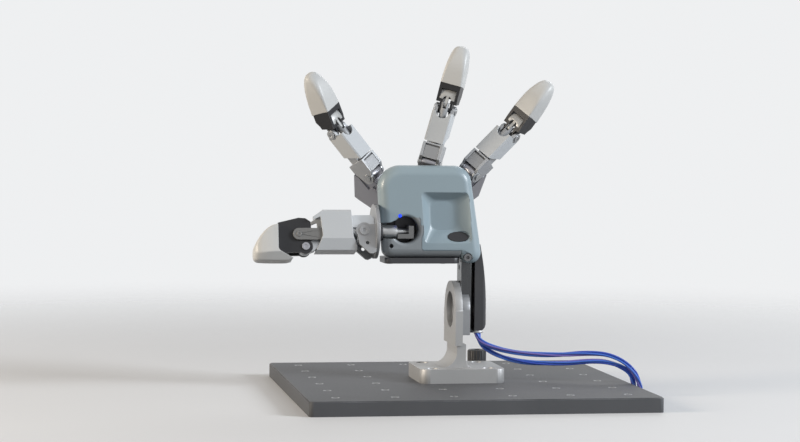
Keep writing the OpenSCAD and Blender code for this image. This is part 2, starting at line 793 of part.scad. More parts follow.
module shell_section(inset) {
  h = shell_w / 2 - inset;
  front = shell_front + inset;
  flat = shell_flat - inset / 2;
  back = shell_back - inset;
  polygon([
    [-h + 1.2, front], [h - 1.2, front], [h, front + 1.2], [h, flat], [h - 3, back], [-h + 3, back],
    [-h, flat], [-h, front + 1.2]
  ]);
}

// The finger's shell: cut back at the knuckle's rear, with a round notch over the push rod
module shell(f) {
  color([0.74, 0.76, 0.78]) at_finger(f) difference() {
    intersection() {
      linear_extrude(height = link_l + 10) shell_section(0);
      x_prism(40) polygon([
        [-10, shell_z0 + 0.7], [-10, shell_z1], [-3.2, shell_z1], [-2.6, shell_z1 + 2.2],
        [7.4, shell_z1 + 2.2], [11, shell_z1 - 2], [11, shell_z0 + 11]
      ]);
    }
    translate([0, 0, shell_z0 - 1]) linear_extrude(height = 50) shell_section(wall);
    translate([0, 0, shell_z1 + 0.5]) y_rod(6.2, -20, -2);
    x_prism(40) translate([hinge_y, link_l]) union() {
      circle(r = hinge_r + 0.3);
      translate([-hinge_r - 0.3, -3.5]) square([2 * hinge_r + 0.6, 4]);
    }
    translate([0, 11, link_l - 2]) cube([15, 14, 14], center = true);
  }
}

// Where the push rod meets the horn, at the finger's bend
function rod_end(f) = link_l + horn_r * sin(horn_a - f[3]);

// A stout rod, slotted at its domed end for the horn's tongue
module push_rod(f) {
  rod_foot = 33;
  slot_w = 3.4;
  dome_r = 4;
  top = rod_end(f);
  dome_z = top + 2.4 - dome_r;
  color("silver") at_finger(f) difference() {
    translate([0, rod_y, 0]) intersection() {
      translate([0, 0, rod_foot]) cylinder(r = rod_r, h = top + 5 - rod_foot);
      x_prism(20) union() {
        translate([0, dome_z]) circle(r = dome_r);
        translate([-dome_r, 0]) square([2 * dome_r, dome_z]);
      }
    }
    translate([-slot_w / 2, -20, top - 3.4]) cube([slot_w, 40, 20]);
    translate([0, rod_y, top]) x_rod(1, 20);
  }
}

module hinge_pin(f) {
  color("silver") at_finger(f) translate([0, hinge_y, link_l]) {
    x_rod(pin_r - pin_fit, 2 * arm_out + 0.4);
    mirrored_x() difference() {
      x_rod(3.3, 1, arm_out + 0.5);
      x_rod(1.6, 1, arm_out + 1, $fn = 6);
    }
  }
}

// The black fork of the fingertip: hub cheeks inside the ears, then wider arms and a closed back
module fork(f) {
  top = cap_z;
  color([0.12, 0.12, 0.13]) at_tip(f) difference() {
    union() {
      mirrored_x() x_prism(1.8, 4.8) union() {
        circle(r = hinge_r);
        polygon([[-hinge_r, 0], [-5, 9], [9, 9], [6, 4], [hinge_r, 0]]);
      }
      mirrored_x() x_prism(6, 6.4) polygon([[-5, 6], [-5, 9], [9, 9], [8, 6]]);
      mirrored_x() x_prism(2.5, 8.15)
        polygon([[-5, 8.9], [-5.4, 11], [-5.4, top], [12, top], [12, 13], [9, 8.9]]);
      x_prism(2 * 7) polygon([
        [7.5, 9], [9, 13], [9, 18.4], [-5.4, 18.4], [-5.4, top], [12, top], [12, 13], [9, 9]
      ]);
      translate([-6, -1, top - eps]) cube([12, 10, 8]);
    }
    x_rod(pin_r + pin_fit, 40);
  }
}

horn_eye = [-horn_r * cos(horn_a), horn_r * sin(horn_a)];

// The polished horn that the push rod works: a band curved round in front of the fork, arched over the rod
module horn(f) {
  color("silver") at_tip(f) difference() {
    union() {
      difference() {
        x_prism(13.6) intersection() {
          difference() {
            translate([8, 9.6]) circle(r = 13.2);
            translate([8, 9.6]) circle(r = 11);
          }
          translate([-9, 9.1]) square([9, 8.5]);
        }
        translate([0, 0, 8.4]) y_rod(4, -20, 20);
      }
      x_prism(2.4) union() {
        translate(horn_eye) circle(r = 2.3);
        polygon([
          horn_eye - [2.3, 0], [-4.9, 9.6], [-4.6, 12.6], [-4, 15], [-2.2, 15], [-3, 9.6],
          horn_eye + [2.2, 0.5]
        ]);
      }
    }
    translate([0, horn_eye[0], horn_eye[1]]) x_rod(1, 20);
  }
}

// The moulded fingertip, flat-faced at its base and rounded to the end
module cap(f) {
  z0 = cap_z + 0.2;
  color([0.78, 0.78, 0.76]) at_tip(f) difference() {
    lofted([
      [z0 + 1, -5.6, 13.8, cap_w, 2.2], [tip_l - 20, -5, 14, cap_w - 0.5, 3],
      [tip_l - 10, -2.8, 13.7, cap_w - 2.2, 4.4], [tip_l - 5.4, 0.4, 12.6, cap_w - 5, 5.4]
    ]);
    translate([-20, -20, z0 - 10]) cube([40, 40, 10]);
    translate([-6.3, -1.3, z0 - 1]) cube([12.6, 10.6, 9.4]);
  }
}

// ---- wires ----

function clamp_at(list, i) = list[min(i, len(list) - 1)];
function unit(v) = v / norm(v);
function along(p, i) = unit(p[min(i + 1, len(p) - 1)] - p[max(i - 1, 0)]);
function side(t) = unit(cross(t, [0, 0, 1]));

// One strand beside the route: sign is 1 for the upper strand and -1 for the lower
function strand(sign) = [for (i = [0 : len(wire_route) - 1])
  let(t = along(wire_route, i), s = side(t), u = cross(s, t), split = clamp_at(wire_split, i))
  wire_route[i] + sign * (split[0] * s + split[1] * u)];

// A tube of eight sides swept along the points p
module tube(p, r) {
  sides = 8;
  n = len(p);
  points = [for (i = [0 : n - 1]) let(t = along(p, i), s = side(t), u = cross(s, t))
    for (k = [0 : sides - 1]) p[i] + r * (cos(k * 360 / sides) * s + sin(k * 360 / sides) * u)];
  walls = [for (i = [0 : n - 2], k = [0 : sides - 1]) let(a = i * sides, b = (k + 1) % sides)
    [a + k, a + b, a + sides + b, a + sides + k]];
  ends = [[for (k = [sides - 1 : -1 : 0]) k], [for (k = [0 : sides - 1]) (n - 1) * sides + k]];
  polyhedron(points = points, faces = concat(walls, ends));
}

module upper_wires() {
  color("royalblue") tube(strand(1), strand_d / 2 - 0.05);
}

module lower_wires() {
  color("royalblue") tube(strand(-1), strand_d / 2 - 0.05);
}

module wire_plug() {
  end = wire_route[len(wire_route) - 1];
  color([0.1, 0.1, 0.11]) translate([end[0] - plug_size[0], end[1] - plug_size[1] / 2, 0]) difference() {
    cube(plug_size);
    for (i = [0 : 3], z = [2.4, 5.6]) translate([-1, plug_size[1] / 2 + (i - 1.5) * 3.2, z])
      rotate([0, 90, 0]) cylinder(r = 0.9, h = 9);
  }
}

// ---- the nodes ----

base_plate();
stand_bracket();
cap_screws();
stop_knob();
wrist_flange();
wrist_post();
wrist_cover();
wire_gland();
palm_chassis();
palm_cover();
lower_panel();
back_cover();
bottom_plate();
camera_window();
status_light();
thumb_mount();
thumb_bushing();
thumb_shaft();
thumb_yoke();
thumb_block();
thumb_knuckle_pin();
thumb_frame();
thumb_shell();
thumb_link();
thumb_hinge_pin();
thumb_fork();
thumb_cap();
carrier(index_f);  // index_carrier
knuckle_pin(index_f);  // index_knuckle_pin
frame(index_f);  // index_frame
actuator(index_f);  // index_actuator
shell(index_f);  // index_shell
push_rod(index_f);  // index_push_rod
hinge_pin(index_f);  // index_hinge_pin
fork(index_f);  // index_fork
horn(index_f);  // index_horn
cap(index_f);  // index_cap
carrier(middle_f);  // middle_carrier
knuckle_pin(middle_f);  // middle_knuckle_pin
frame(middle_f);  // middle_frame
actuator(middle_f);  // middle_actuator
shell(middle_f);  // middle_shell
push_rod(middle_f);  // middle_push_rod
hinge_pin(middle_f);  // middle_hinge_pin
fork(middle_f);  // middle_fork
horn(middle_f);  // middle_horn
cap(middle_f);  // middle_cap
carrier(ring_f);  // ring_carrier
knuckle_pin(ring_f);  // ring_knuckle_pin
frame(ring_f);  // ring_frame
actuator(ring_f);  // ring_actuator
shell(ring_f);  // ring_shell
push_rod(ring_f);  // ring_push_rod
hinge_pin(ring_f);  // ring_hinge_pin
fork(ring_f);  // ring_fork
horn(ring_f);  // ring_horn
cap(ring_f);  // ring_cap
upper_wires();
lower_wires();
wire_plug();
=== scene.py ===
"""Dresses a bench-mounted robot hand: camera, wires, moulded forms, finishes and a plain studio."""

import logging
import math
from collections.abc import Sequence
from dataclasses import dataclass
from enum import Enum

import bmesh
import bpy
from mathutils import Matrix, Vector


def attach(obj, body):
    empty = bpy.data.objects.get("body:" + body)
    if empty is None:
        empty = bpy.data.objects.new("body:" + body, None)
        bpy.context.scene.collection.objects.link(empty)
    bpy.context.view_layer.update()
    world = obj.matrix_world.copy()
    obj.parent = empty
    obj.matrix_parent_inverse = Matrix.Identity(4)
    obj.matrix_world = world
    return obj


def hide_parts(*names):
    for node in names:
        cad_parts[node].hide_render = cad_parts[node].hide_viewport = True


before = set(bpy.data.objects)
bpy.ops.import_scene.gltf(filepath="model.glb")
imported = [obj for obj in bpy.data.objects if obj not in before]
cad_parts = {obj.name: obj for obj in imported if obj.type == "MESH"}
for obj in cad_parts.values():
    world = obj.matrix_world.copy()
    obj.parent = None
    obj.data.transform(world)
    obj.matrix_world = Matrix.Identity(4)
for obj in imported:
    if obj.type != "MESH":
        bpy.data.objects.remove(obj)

LOG = logging.getLogger("robot_hand")
MM = 0.001
Colour = tuple[float, float, float]
Point = tuple[float, float, float]
Flat = tuple[float, float]
# the sockets that a colour Mix node takes its two colours in, and gives the result out
MIX_LOW, MIX_HIGH, MIX_RESULT = 6, 7, 2
# how far in front of the palm's face a cutter ends, and the roll of its edge starts, in millimetres
OVERSHOOT, SKIM = 6.0, 0.004


# ---- finishes ----


class Brushing(Enum):
    """The axis that a brushed or turned finish runs along, as how its grain is squeezed."""

    NONE = (1, 1, 1)
    X = (0.03, 1, 1)
    Z = (1, 1, 0.03)


class NodeBench:
    """A short-hand for wiring up the shader nodes of one material or world."""

    def __init__(self, owner: bpy.types.Material | bpy.types.World) -> None:
        """Empties the owner's nodes.

        Args:
            owner: The material or world that the nodes belong to.
        """
        owner.use_nodes = True
        self.owner = owner
        self.tree = owner.node_tree
        self.tree.nodes.clear()

    def add(self, kind: str, *feeds: object, **settings: object) -> bpy.types.Node:
        """Adds a node and sets its properties and its input sockets.

        Args:
            kind: The node's type name, such as "ShaderNodeTexNoise".
            feeds: What its first input sockets take, in order.
            settings: Property names, or socket names with spaces written as underscores, and what
                each one takes. A socket takes a plain value or another node's socket.

        Returns:
            The new node.
        """
        node = self.tree.nodes.new(kind)
        for key, value in settings.items():
            if hasattr(node, key):
                setattr(node, key, value)
            else:
                self._feed(value, node.inputs[key.replace("_", " ")])
        for value, socket in zip(feeds, node.inputs):
            self._feed(value, socket)
        return node

    def _feed(self, value: object, socket: bpy.types.NodeSocket) -> None:
        """Links another node's socket to an input socket, or gives it a plain value.

        Args:
            value: The other node's socket, or the plain value.
            socket: The input socket that takes it.
        """
        if isinstance(value, bpy.types.NodeSocket):
            self.tree.links.new(value, socket)
        elif socket.type == "RGBA":
            socket.default_value = (*value, 1.0)
        else:
            socket.default_value = value

    def mixed(self, share: bpy.types.NodeSocket, low: object, high: object) -> bpy.types.NodeSocket:
        """Mixes two colours, each a fixed one or another node's socket.

        Args:
            share: The socket that gives the second colour's share.
            low: The colour where the share is 0.
            high: The colour where it is 1.

        Returns:
            The socket that holds the mixed colour.
        """
        mix = self.add("ShaderNodeMix", share, data_type="RGBA")
        self._feed(low, mix.inputs[MIX_LOW])
        self._feed(high, mix.inputs[MIX_HIGH])
        return mix.outputs[MIX_RESULT]

    def shown(self) -> bpy.types.NodeSocket:
        """Tells a ray that shows a thing from one that only lights it.

        Returns:
            A socket that is 1 where a thing is seen, mirrored or seen through glass, and else 0.
        """
        path = self.add("ShaderNodeLightPath").outputs
        found = path["Is Camera Ray"]
        for kind in ("Is Glossy Ray", "Is Transmission Ray"):
            found = self.add("ShaderNodeMath", found, path[kind], operation="MAXIMUM").outputs[0]
        return found


@dataclass(frozen=True)
class Finish:
    """One surface finish.

    It varies slowly between colour and shade, and its roughness by spread either way. The grain is
    fine and its depth is in millimetres. Wear is how far the edges turn to the worn colour.
    """

    name: str
    colour: Colour
    shade: Colour
    roughness: float
    spread: float = 0.06
    metallic: float = 0.0
    grain: float = 900.0
    grain_depth: float = 0.02
    mottle: float = 25.0
    brushing: Brushing = Brushing.NONE
    wear: float = 0.0
    worn: Colour = (0.8, 0.8, 0.8)
    coat: float = 0.0
    glow: float = 0.0
    gloss: float = 0.5

    def material(self) -> bpy.types.Material:
        """The finish's material, made at its first use."""
        found = bpy.data.materials.get(self.name)
        return found if found is not None else self._make()

    def _make(self) -> bpy.types.Material:
        """Builds the finish's nodes.

        Returns:
            The new material.
        """
        bench = NodeBench(bpy.data.materials.new(self.name))
        place = bench.add("ShaderNodeTexCoord").outputs["Object"]
        roughness, normal = self._grained(bench, place)
        paint = bench.add(
            "ShaderNodeBsdfPrincipled",
            Base_Color=self._mottled(bench, place),
            Metallic=self.metallic,
            Roughness=roughness,
            Normal=normal,
            Specular_IOR_Level=self.gloss,
            Coat_Weight=self.coat,
            Coat_Roughness=0.12,
            Emission_Color=self.colour,
            Emission_Strength=self.glow,
        )
        bench.add("ShaderNodeOutputMaterial", paint.outputs["BSDF"])
        return bench.owner

    def _mottled(self, bench: NodeBench, place: bpy.types.NodeSocket) -> bpy.types.NodeSocket:
        """Mottles the colour and brightens the edges that wear.

        Args:
            bench: The material being made.
            place: Where each point lies on the piece.

        Returns:
            The socket that holds the colour.
        """
        mottle = bench.add(
            "ShaderNodeTexNoise", place, Scale=self.mottle, Detail=3.0, Roughness=0.6
        ).outputs["Fac"]
        colour = bench.mixed(mottle, self.colour, self.shade)
        if self.wear == 0:
            return colour
        return bench.mixed(self._worn_share(bench, mottle), colour, self.worn)

    def _worn_share(self, bench: NodeBench, mottle: bpy.types.NodeSocket) -> bpy.types.NodeSocket:
        """Finds the piece's edges and wears them unevenly.

        Args:
            bench: The material being made.
            mottle: The slow noise that makes the wear uneven.

        Returns:
            The socket that holds the worn colour's share.
        """
        rounded = bench.add("ShaderNodeBevel", samples=4, Radius=0.5 * MM).outputs["Normal"]
        plain = bench.add("ShaderNodeNewGeometry").outputs["Normal"]
        flatness = bench.add("ShaderNodeVectorMath", rounded, plain, operation="DOT_PRODUCT")
        edge = bench.add(
            "ShaderNodeMapRange",
            flatness.outputs["Value"],
            From_Min=0.995,
            From_Max=0.86,
            To_Max=self.wear,
        ).outputs["Result"]
        patch = bench.add("ShaderNodeMapRange", mottle, From_Min=0.35, From_Max=0.6)
        uneven = bench.add("ShaderNodeMath", edge, patch.outputs["Result"], operation="MULTIPLY")
        return uneven.outputs["Value"]

    def _grained(
        self, bench: NodeBench, place: bpy.types.NodeSocket
    ) -> tuple[bpy.types.NodeSocket, bpy.types.NodeSocket]:
        """Makes the fine grain, or the brushing lines.

        Args:
            bench: The material being made.
            place: Where each point lies on the piece.

        Returns:
            The sockets that hold the roughness and the bumped normal.
        """
        if self.brushing is not Brushing.NONE:
            lay = bench.add("ShaderNodeMapping", place, Scale=self.brushing.value)
            place = lay.outputs["Vector"]
        grain = bench.add(
            "ShaderNodeTexNoise", place, Scale=self.grain, Detail=4.0, Roughness=0.65
        ).outputs["Fac"]
        shine = bench.add(
            "ShaderNodeMapRange",
            grain,
            From_Min=0.3,
            From_Max=0.7,
            To_Min=max(0.02, self.roughness - self.spread),
            To_Max=self.roughness + self.spread,
        )
        bump = bench.add(
            "ShaderNodeBump", Strength=1.0, Distance=self.grain_depth * MM, Height=grain
        )
        return shine.outputs["Result"], bump.outputs["Normal"]


PLATE = Finish(
    "anodised_plate", (0.085, 0.087, 0.092), (0.108, 0.11, 0.116), 0.56, metallic=0.12, gloss=0.2,
    grain=700, grain_depth=0.03, wear=0.6, worn=(0.4, 0.4, 0.42),
)
BLASTED = Finish(
    "blasted_bracket", (0.36, 0.36, 0.36), (0.41, 0.41, 0.41), 0.48, metallic=0.4,
    grain=1800, grain_depth=0.05, wear=0.5, worn=(0.68, 0.68, 0.68),
)
FRAME_METAL = Finish(
    "frame_metal", (0.36, 0.37, 0.385), (0.42, 0.43, 0.445), 0.36, metallic=0.6,
    grain=1500, grain_depth=0.012, wear=1.0, worn=(0.9, 0.91, 0.93),
)
BRIGHT = Finish(
    "bright_metal", (0.4, 0.41, 0.43), (0.47, 0.48, 0.5), 0.26, metallic=1.0,
    grain=1500, grain_depth=0.01, brushing=Brushing.Z,
)
POLISHED = Finish(
    "polished_metal", (0.42, 0.425, 0.43), (0.36, 0.365, 0.37), 0.3, spread=0.05, metallic=0.8,
    grain=900, grain_depth=0.006, brushing=Brushing.X,
)
STEEL = Finish(
    "post_steel", (0.06, 0.062, 0.065), (0.09, 0.092, 0.095), 0.28, spread=0.05, metallic=0.85,
    grain=1300, grain_depth=0.01, brushing=Brushing.Z, wear=1.0, worn=(0.75, 0.75, 0.75),
)
DARK_METAL = Finish(
    "dark_metal", (0.1, 0.097, 0.1), (0.15, 0.147, 0.15), 0.38, metallic=0.85,
    grain=1100, grain_depth=0.02, wear=0.9, worn=(0.6, 0.59, 0.58),
)
GREY_METAL = Finish(
    "grey_metal", (0.17, 0.175, 0.182), (0.22, 0.225, 0.232), 0.4, metallic=0.5,
    grain=1100, grain_depth=0.02, wear=0.7, worn=(0.7, 0.7, 0.7),
)
YOKE_METAL = Finish(
    "yoke_metal", (0.27, 0.275, 0.285), (0.33, 0.335, 0.345), 0.38, metallic=0.5,
    grain=1300, grain_depth=0.015, wear=0.6, worn=(0.88, 0.88, 0.88),
)
LINK_METAL = Finish(
    "link_metal", (0.15, 0.148, 0.145), (0.19, 0.187, 0.183), 0.42, metallic=0.2,
    grain=1300, grain_depth=0.02, wear=0.9, worn=(0.5, 0.49, 0.48),
)
HORN_METAL = Finish(
    "horn_metal", (0.44, 0.44, 0.43), (0.5, 0.5, 0.49), 0.4, metallic=0.2,
    grain=1300, grain_depth=0.012, wear=0.5, worn=(0.7, 0.7, 0.69),
)
ROD_METAL = Finish(
    "rod_metal", (0.3, 0.305, 0.315), (0.34, 0.345, 0.355), 0.5, metallic=0.15,
    grain=1300, grain_depth=0.01, brushing=Brushing.Z,
)
SCREW_METAL = Finish(
    "screw_metal", (0.13, 0.13, 0.135), (0.18, 0.18, 0.185), 0.44, metallic=0.4,
    grain=1300, grain_depth=0.01, wear=0.3, worn=(0.4, 0.4, 0.41),
)
PALM_PAINT = Finish(
    "palm_paint", (0.285, 0.36, 0.398), (0.305, 0.38, 0.418), 0.36, coat=0.1,
    grain=2600, grain_depth=0.01, mottle=14,
)
PANEL_PAINT = Finish(
    "panel_paint", (0.255, 0.275, 0.287), (0.275, 0.295, 0.307), 0.4, coat=0.08,
    grain=2600, grain_depth=0.012, mottle=14,
)
SHELL_PAINT = Finish(
    "shell_paint", (0.53, 0.548, 0.565), (0.565, 0.583, 0.6), 0.38, coat=0.08,
    grain=2600, grain_depth=0.012, mottle=30,
)
CAP_PAINT = Finish(
    "cap_paint", (0.57, 0.57, 0.56), (0.605, 0.605, 0.595), 0.42, coat=0.06,
    grain=2400, grain_depth=0.014, mottle=40,
)
BLACK_PLASTIC = Finish(
    "black_plastic", (0.018, 0.018, 0.02), (0.028, 0.028, 0.031), 0.4, gloss=0.22,
    grain=1700, grain_depth=0.03, wear=0.25, worn=(0.16, 0.16, 0.16),
)
BLACK_METAL = Finish(
    "black_fork", (0.022, 0.022, 0.024), (0.036, 0.036, 0.039), 0.38, gloss=0.25,
    grain=1500, grain_depth=0.02, wear=0.35, worn=(0.3, 0.3, 0.31),
)
WINDOW = Finish("camera_window", (0.006, 0.006, 0.008), (0.012, 0.012, 0.016), 0.22, coat=0.3)
LIGHT = Finish("status_light", (0.01, 0.05, 0.9), (0.02, 0.08, 0.95), 0.2, glow=1.1)
WIRE_BLUE, WIRE_DEEP, WIRE_VIOLET = (
    Finish(name, colour, shade, roughness, coat=0.15, grain=1600, grain_depth=0.01, mottle=60)
    for name, colour, shade, roughness in (
        ("wire_blue", (0.035, 0.14, 0.68), (0.05, 0.19, 0.8), 0.34),
        ("wire_deep_blue", (0.02, 0.06, 0.42), (0.03, 0.09, 0.52), 0.36),
        ("wire_violet", (0.14, 0.11, 0.42), (0.2, 0.17, 0.52), 0.36),
    )
)


# ---- shared work on pieces ----


def dress(node: str, finish: Finish, edge: float) -> None:
    """Gives a CAD node its finish, smooth curved faces and eased edges.

    Args:
        node: The CAD node's name.
        finish: The finish that covers it.
        edge: Width of its eased edges in millimetres, or 0 for none.
    """
    weld_reach, least_turn = 0.002, 35
    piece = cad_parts[node]
    piece.data.materials.clear()
    piece.data.materials.append(finish.material())
    for face in piece.data.polygons:
        face.material_index = 0
    if edge > 0:
        weld = piece.modifiers.new("weld", "WELD")
        weld.merge_threshold = weld_reach * MM
        ease = piece.modifiers.new("ease", "BEVEL")
        ease.width = edge * MM
        ease.segments = 2
        ease.limit_method = "ANGLE"
        ease.angle_limit = math.radians(least_turn)
        ease.harden_normals = True
    LOG.info("dressed %s with %s", node, finish.name)


def add_object(name: str, data: bpy.types.ID) -> bpy.types.Object:
    """Puts a mesh, curve, lamp or camera into the scene as a new object."""
    piece = bpy.data.objects.new(name, data)
    bpy.context.scene.collection.objects.link(piece)
    return piece


# nodes, each as its name (after its owner's), its finish and the width of its eased edges
Looks = Sequence[tuple[str, Finish, float]]


def dress_all(looks: Looks, owner: str = "") -> None:
    """Dresses several CAD nodes, whose names start with their owner's where one is given."""
    for part, finish, edge in looks:
        dress(owner + part, finish, edge)


def place_mesh(
    name: str,
    points: Sequence[Vector],
    faces: Sequence[Sequence[int]],
    finish: Finish,
    crease: float = 32.0,
) -> bpy.types.Object:
    """Makes an object from points and faces, smooth but for its creases.

    Args:
        name: The object's name.
        points: Its points, in millimetres in the hand's frame.
        faces: Its faces, as lists of point numbers.
        finish: The finish that covers it.
        crease: Edges that turn by more than this many degrees stay sharp.

    Returns:
        The new object.
    """
    mesh = bpy.data.meshes.new(name)
    mesh.from_pydata([tuple(Vector(p) * MM) for p in points], [], [list(f) for f in faces])
    mesh.validate()
    bm = bmesh.new()
    bm.from_mesh(mesh)
    bmesh.ops.recalc_face_normals(bm, faces=bm.faces)
    bm.to_mesh(mesh)
    bm.free()
    mesh.materials.append(finish.material())
    piece = add_object(name, mesh)
    settle_shading(piece, crease)
    return piece


def settle_shading(piece: bpy.types.Object, crease: float) -> None:
    """Shades a piece smoothly between creases, keeping its flat faces flat.

    Args:
        piece: The object to shade.
        crease: The angle of a sharp edge, in degrees.
    """
    mesh = piece.data
    mesh.polygons.foreach_set("use_smooth", [True] * len(mesh.polygons))
    mesh.set_sharp_from_angle(angle=math.radians(crease))
    if "weigh" not in piece.modifiers:
        weigh = piece.modifiers.new("weigh", "WEIGHTED_NORMAL")
        weigh.keep_sharp = True
        weigh.weight = 80


def loft(
    name: str,
    rings: Sequence[Sequence[Vector]],
    finish: Finish,
    crease: float = 32.0,
    mirror_at: int = 0,
) -> bpy.types.Object:
    """Skins closed rings of the same count and closes both ends.

    Args:
        name: The object's name.
        rings: The rings, each a list of points in millimetres.
        finish: The finish that covers it.
        crease: Edges that turn by more than this many degrees stay sharp.
        mirror_at: Where a symmetric ring's first side ends, if its curved first end is closed
            with strips between mirrored points, or 0 for a flat end.

    Returns:
        The new object.
    """
    count = len(rings[0])
    points = [p for ring in rings for p in ring]
    faces: list[list[int]] = []
    for i in range(len(rings) - 1):
        a, b = i * count, (i + 1) * count
        faces += [[a + k, a + (k + 1) % count, b + (k + 1) % count, b + k] for k in range(count)]
    if mirror_at:
        faces.append(list(range(mirror_at + 1)))
        for k in range((count - mirror_at) // 2):
            left, right = (-k) % count, mirror_at + k
            quad = [left, right, right + 1, (-k - 1) % count]
            faces.append(list(dict.fromkeys(quad)))
    else:
        faces.append(list(range(count))[::-1])
    faces.append([(len(rings) - 1) * count + k for k in range(count)])
    return place_mesh(name, points, faces, finish, crease)


def turned(
    name: str,
    profile: Sequence[Flat],
    place: Matrix,
    finish: Finish,
    turns: int = 32,
) -> bpy.types.Object:
    """Turns a closed piece about its own Z axis.

    Args:
        name: The object's name.
        profile: Radius and height from the middle of one end to the middle of the other.
        place: Where the piece stands, in millimetres.
        finish: The finish that covers it.
        turns: How many sides it has.

    Returns:
        The new object.
    """
    least_radius = 0.02
    rings = [
        [place @ Vector((x, y, z)) for x, y in circle((0, 0), max(r, least_radius), turns)]
        for r, z in profile
    ]
    return loft(name, rings, finish, 30)


def fillet_ring(
    corners: Sequence[Flat], radius: float, steps: int, straight: int = 1
) -> list[Flat]:
    """A closed outline whose corners are rounded.

    Args:
        corners: The outline's corners, in order.
        radius: The rounding's radius, kept below half of each side.
        steps: How many pieces each rounded corner has.
        straight: How many pieces each straight side has.

    Returns:
        steps + straight points for each corner.
    """
    found: list[Flat] = []
    rounded = _rounded_corners(corners, radius, steps)
    for i, points in enumerate(rounded):
        found += points
        end, start = Vector(points[-1]), Vector(rounded[(i + 1) % len(rounded)][0])
        found += [tuple(end.lerp(start, k / straight)) for k in range(1, straight)]
    return found


def _rounded_corners(corners: Sequence[Flat], radius: float, steps: int) -> list[list[Flat]]:
    """The points of each rounded corner of an outline.

    Args:
        corners: The outline's corners, in order.
        radius: The rounding's radius.
        steps: How many pieces each rounded corner has.

    Returns:
        A list of steps + 1 points for each corner.
    """
    most_of_side, flattening = 0.48, 0.17
    found = []
    for i, corner in enumerate(corners):
        here = Vector(corner)
        back = Vector(corners[i - 1]) - here
        ahead = Vector(corners[(i + 1) % len(corners)]) - here
        half = back.angle(ahead) / 2
        room = most_of_side * min(back.length, ahead.length)
        reach = min(radius / math.tan(half), room)
        start, end = here + back.normalized() * reach, here + ahead.normalized() * reach
        points = []
        for k in range(steps + 1):
            t = k / steps
            bow = (1 - t) ** 2 * start + 2 * t * (1 - t) * here + t * t * end
            points.append(tuple(bow.lerp(start.lerp(end, t), flattening)))
        found.append(points)
    return found


def smooth_line(points: Sequence[Vector], steps: int) -> list[Vector]:
    """A smooth line through points, with steps pieces between each two.

    Args:
        points: The points it passes through.
        steps: How many pieces each gap is cut into.

    Returns:
        The points of the smooth line.
    """
    line = []
    for i in range(len(points) - 1):
        a, b = points[i], points[i + 1]
        before = points[i - 1] if i > 0 else a - (b - a)
        after = points[i + 2] if i + 2 < len(points) else b + (b - a)
        for k in range(steps):
            t = k / steps
            line.append(
                0.5
                * (
                    2 * a
                    + (b - before) * t
                    + (2 * before - 5 * a + 4 * b - after) * t * t
                    + (3 * a - before - 3 * b + after) * t**3
                )
            )
    return [*line, points[-1].copy()]


def blend_rows(rows: Sequence[Sequence[float]], steps: int) -> list[list[float]]:
    """Rows of sizes with more rows added between them.

    The first four sizes follow a smooth line through the rows, and the others change evenly.

    Args:
        rows: The given rows, all of one length.
        steps: How many rows stand in for each given one.

    Returns:
        The longer list of rows.
    """
    found = [list(v) for v in smooth_line([Vector(row[:4]) for row in rows], steps)]
    for i, row in enumerate(found):
        k = min(i // steps, len(rows) - 2)
        t = (i - k * steps) / steps
        row.extend(a + (b - a) * t for a, b in zip(rows[k][4:], rows[k + 1][4:]))
    return found


class Keep(Enum):
    """Which part of a piece is kept when a tool cuts it."""

    OUTSIDE = "DIFFERENCE"
    INSIDE = "INTERSECT"


def carve(piece: bpy.types.Object, tool: bpy.types.Object, keep: Keep = Keep.OUTSIDE) -> None:
    """Cuts a piece with a tool, and uses the tool up.

    Args:
        piece: The object to cut.
        tool: The cutter.
        keep: Whether what lies outside or inside the tool is kept.
    """
    piece.modifiers.clear()
    cut = piece.modifiers.new("cut", "BOOLEAN")
    cut.operation = keep.value
    cut.solver = "EXACT"
    cut.object = tool
    bpy.context.view_layer.update()
    ready = piece.evaluated_get(bpy.context.evaluated_depsgraph_get())
    mesh = bpy.data.meshes.new_from_object(ready)
    piece.modifiers.clear()
    piece.data = mesh
    bpy.data.objects.remove(tool)


def cutter(rings: Sequence[Sequence[Vector]]) -> bpy.types.Object:
    """A cutter for the palm's face, skinned over closed rings."""
    return loft("cut", rings, PALM_PAINT)


def ring_at(outline: Sequence[Flat], y: float) -> list[Vector]:
    """An outline in X and Z, laid at a depth y."""
    return [Vector((x, y, z)) for x, z in outline]


def prism(outline: Sequence[Flat], y0: float, y1: float) -> bpy.types.Object:
    """A cutter whose outline in X and Z is carried from y0 to y1, in millimetres."""
    return cutter([ring_at(outline, y) for y in (y0, y1)])


def mould_cap(digit: str, rings: Sequence[Sequence[Vector]], mirror_at: int) -> None:
    """Moulds the cap that takes the place of a thumb's or finger's plainer one.

    Args:
        digit: Whose cap it is, such as "thumb".
        rings: The cap's rings, from its base to its end.
        mirror_at: Where the first side of each ring ends.
    """
    cap = loft(f"{digit}_cap_skin", rings, CAP_PAINT, 40, mirror_at)
    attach(cap, f"{digit}_tip")
    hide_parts(f"{digit}_cap")
    LOG.info("moulded %s", cap.name)


def arc(centre: Flat, radius: float, start: float, end: float, steps: int) -> list[Flat]:
    """Points along an arc, with its angles in degrees.

    Args:
        centre: The arc's centre.
        radius: Its radius.
        start: The angle of its first point.
        end: The angle of its last point.
        steps: How many pieces it has.

    Returns:
        steps + 1 points.
    """
    angles = [math.radians(start + (end - start) * k / steps) for k in range(steps + 1)]
    return [(centre[0] + radius * math.cos(a), centre[1] + radius * math.sin(a)) for a in angles]


def circle(centre: Flat, radius: float, sides: int) -> list[Flat]:
    """A closed ring of points about a centre."""
    return arc(centre, radius, 0, 360 - 360 / sides, sides - 1)


# ---- camera, lamps and floor ----


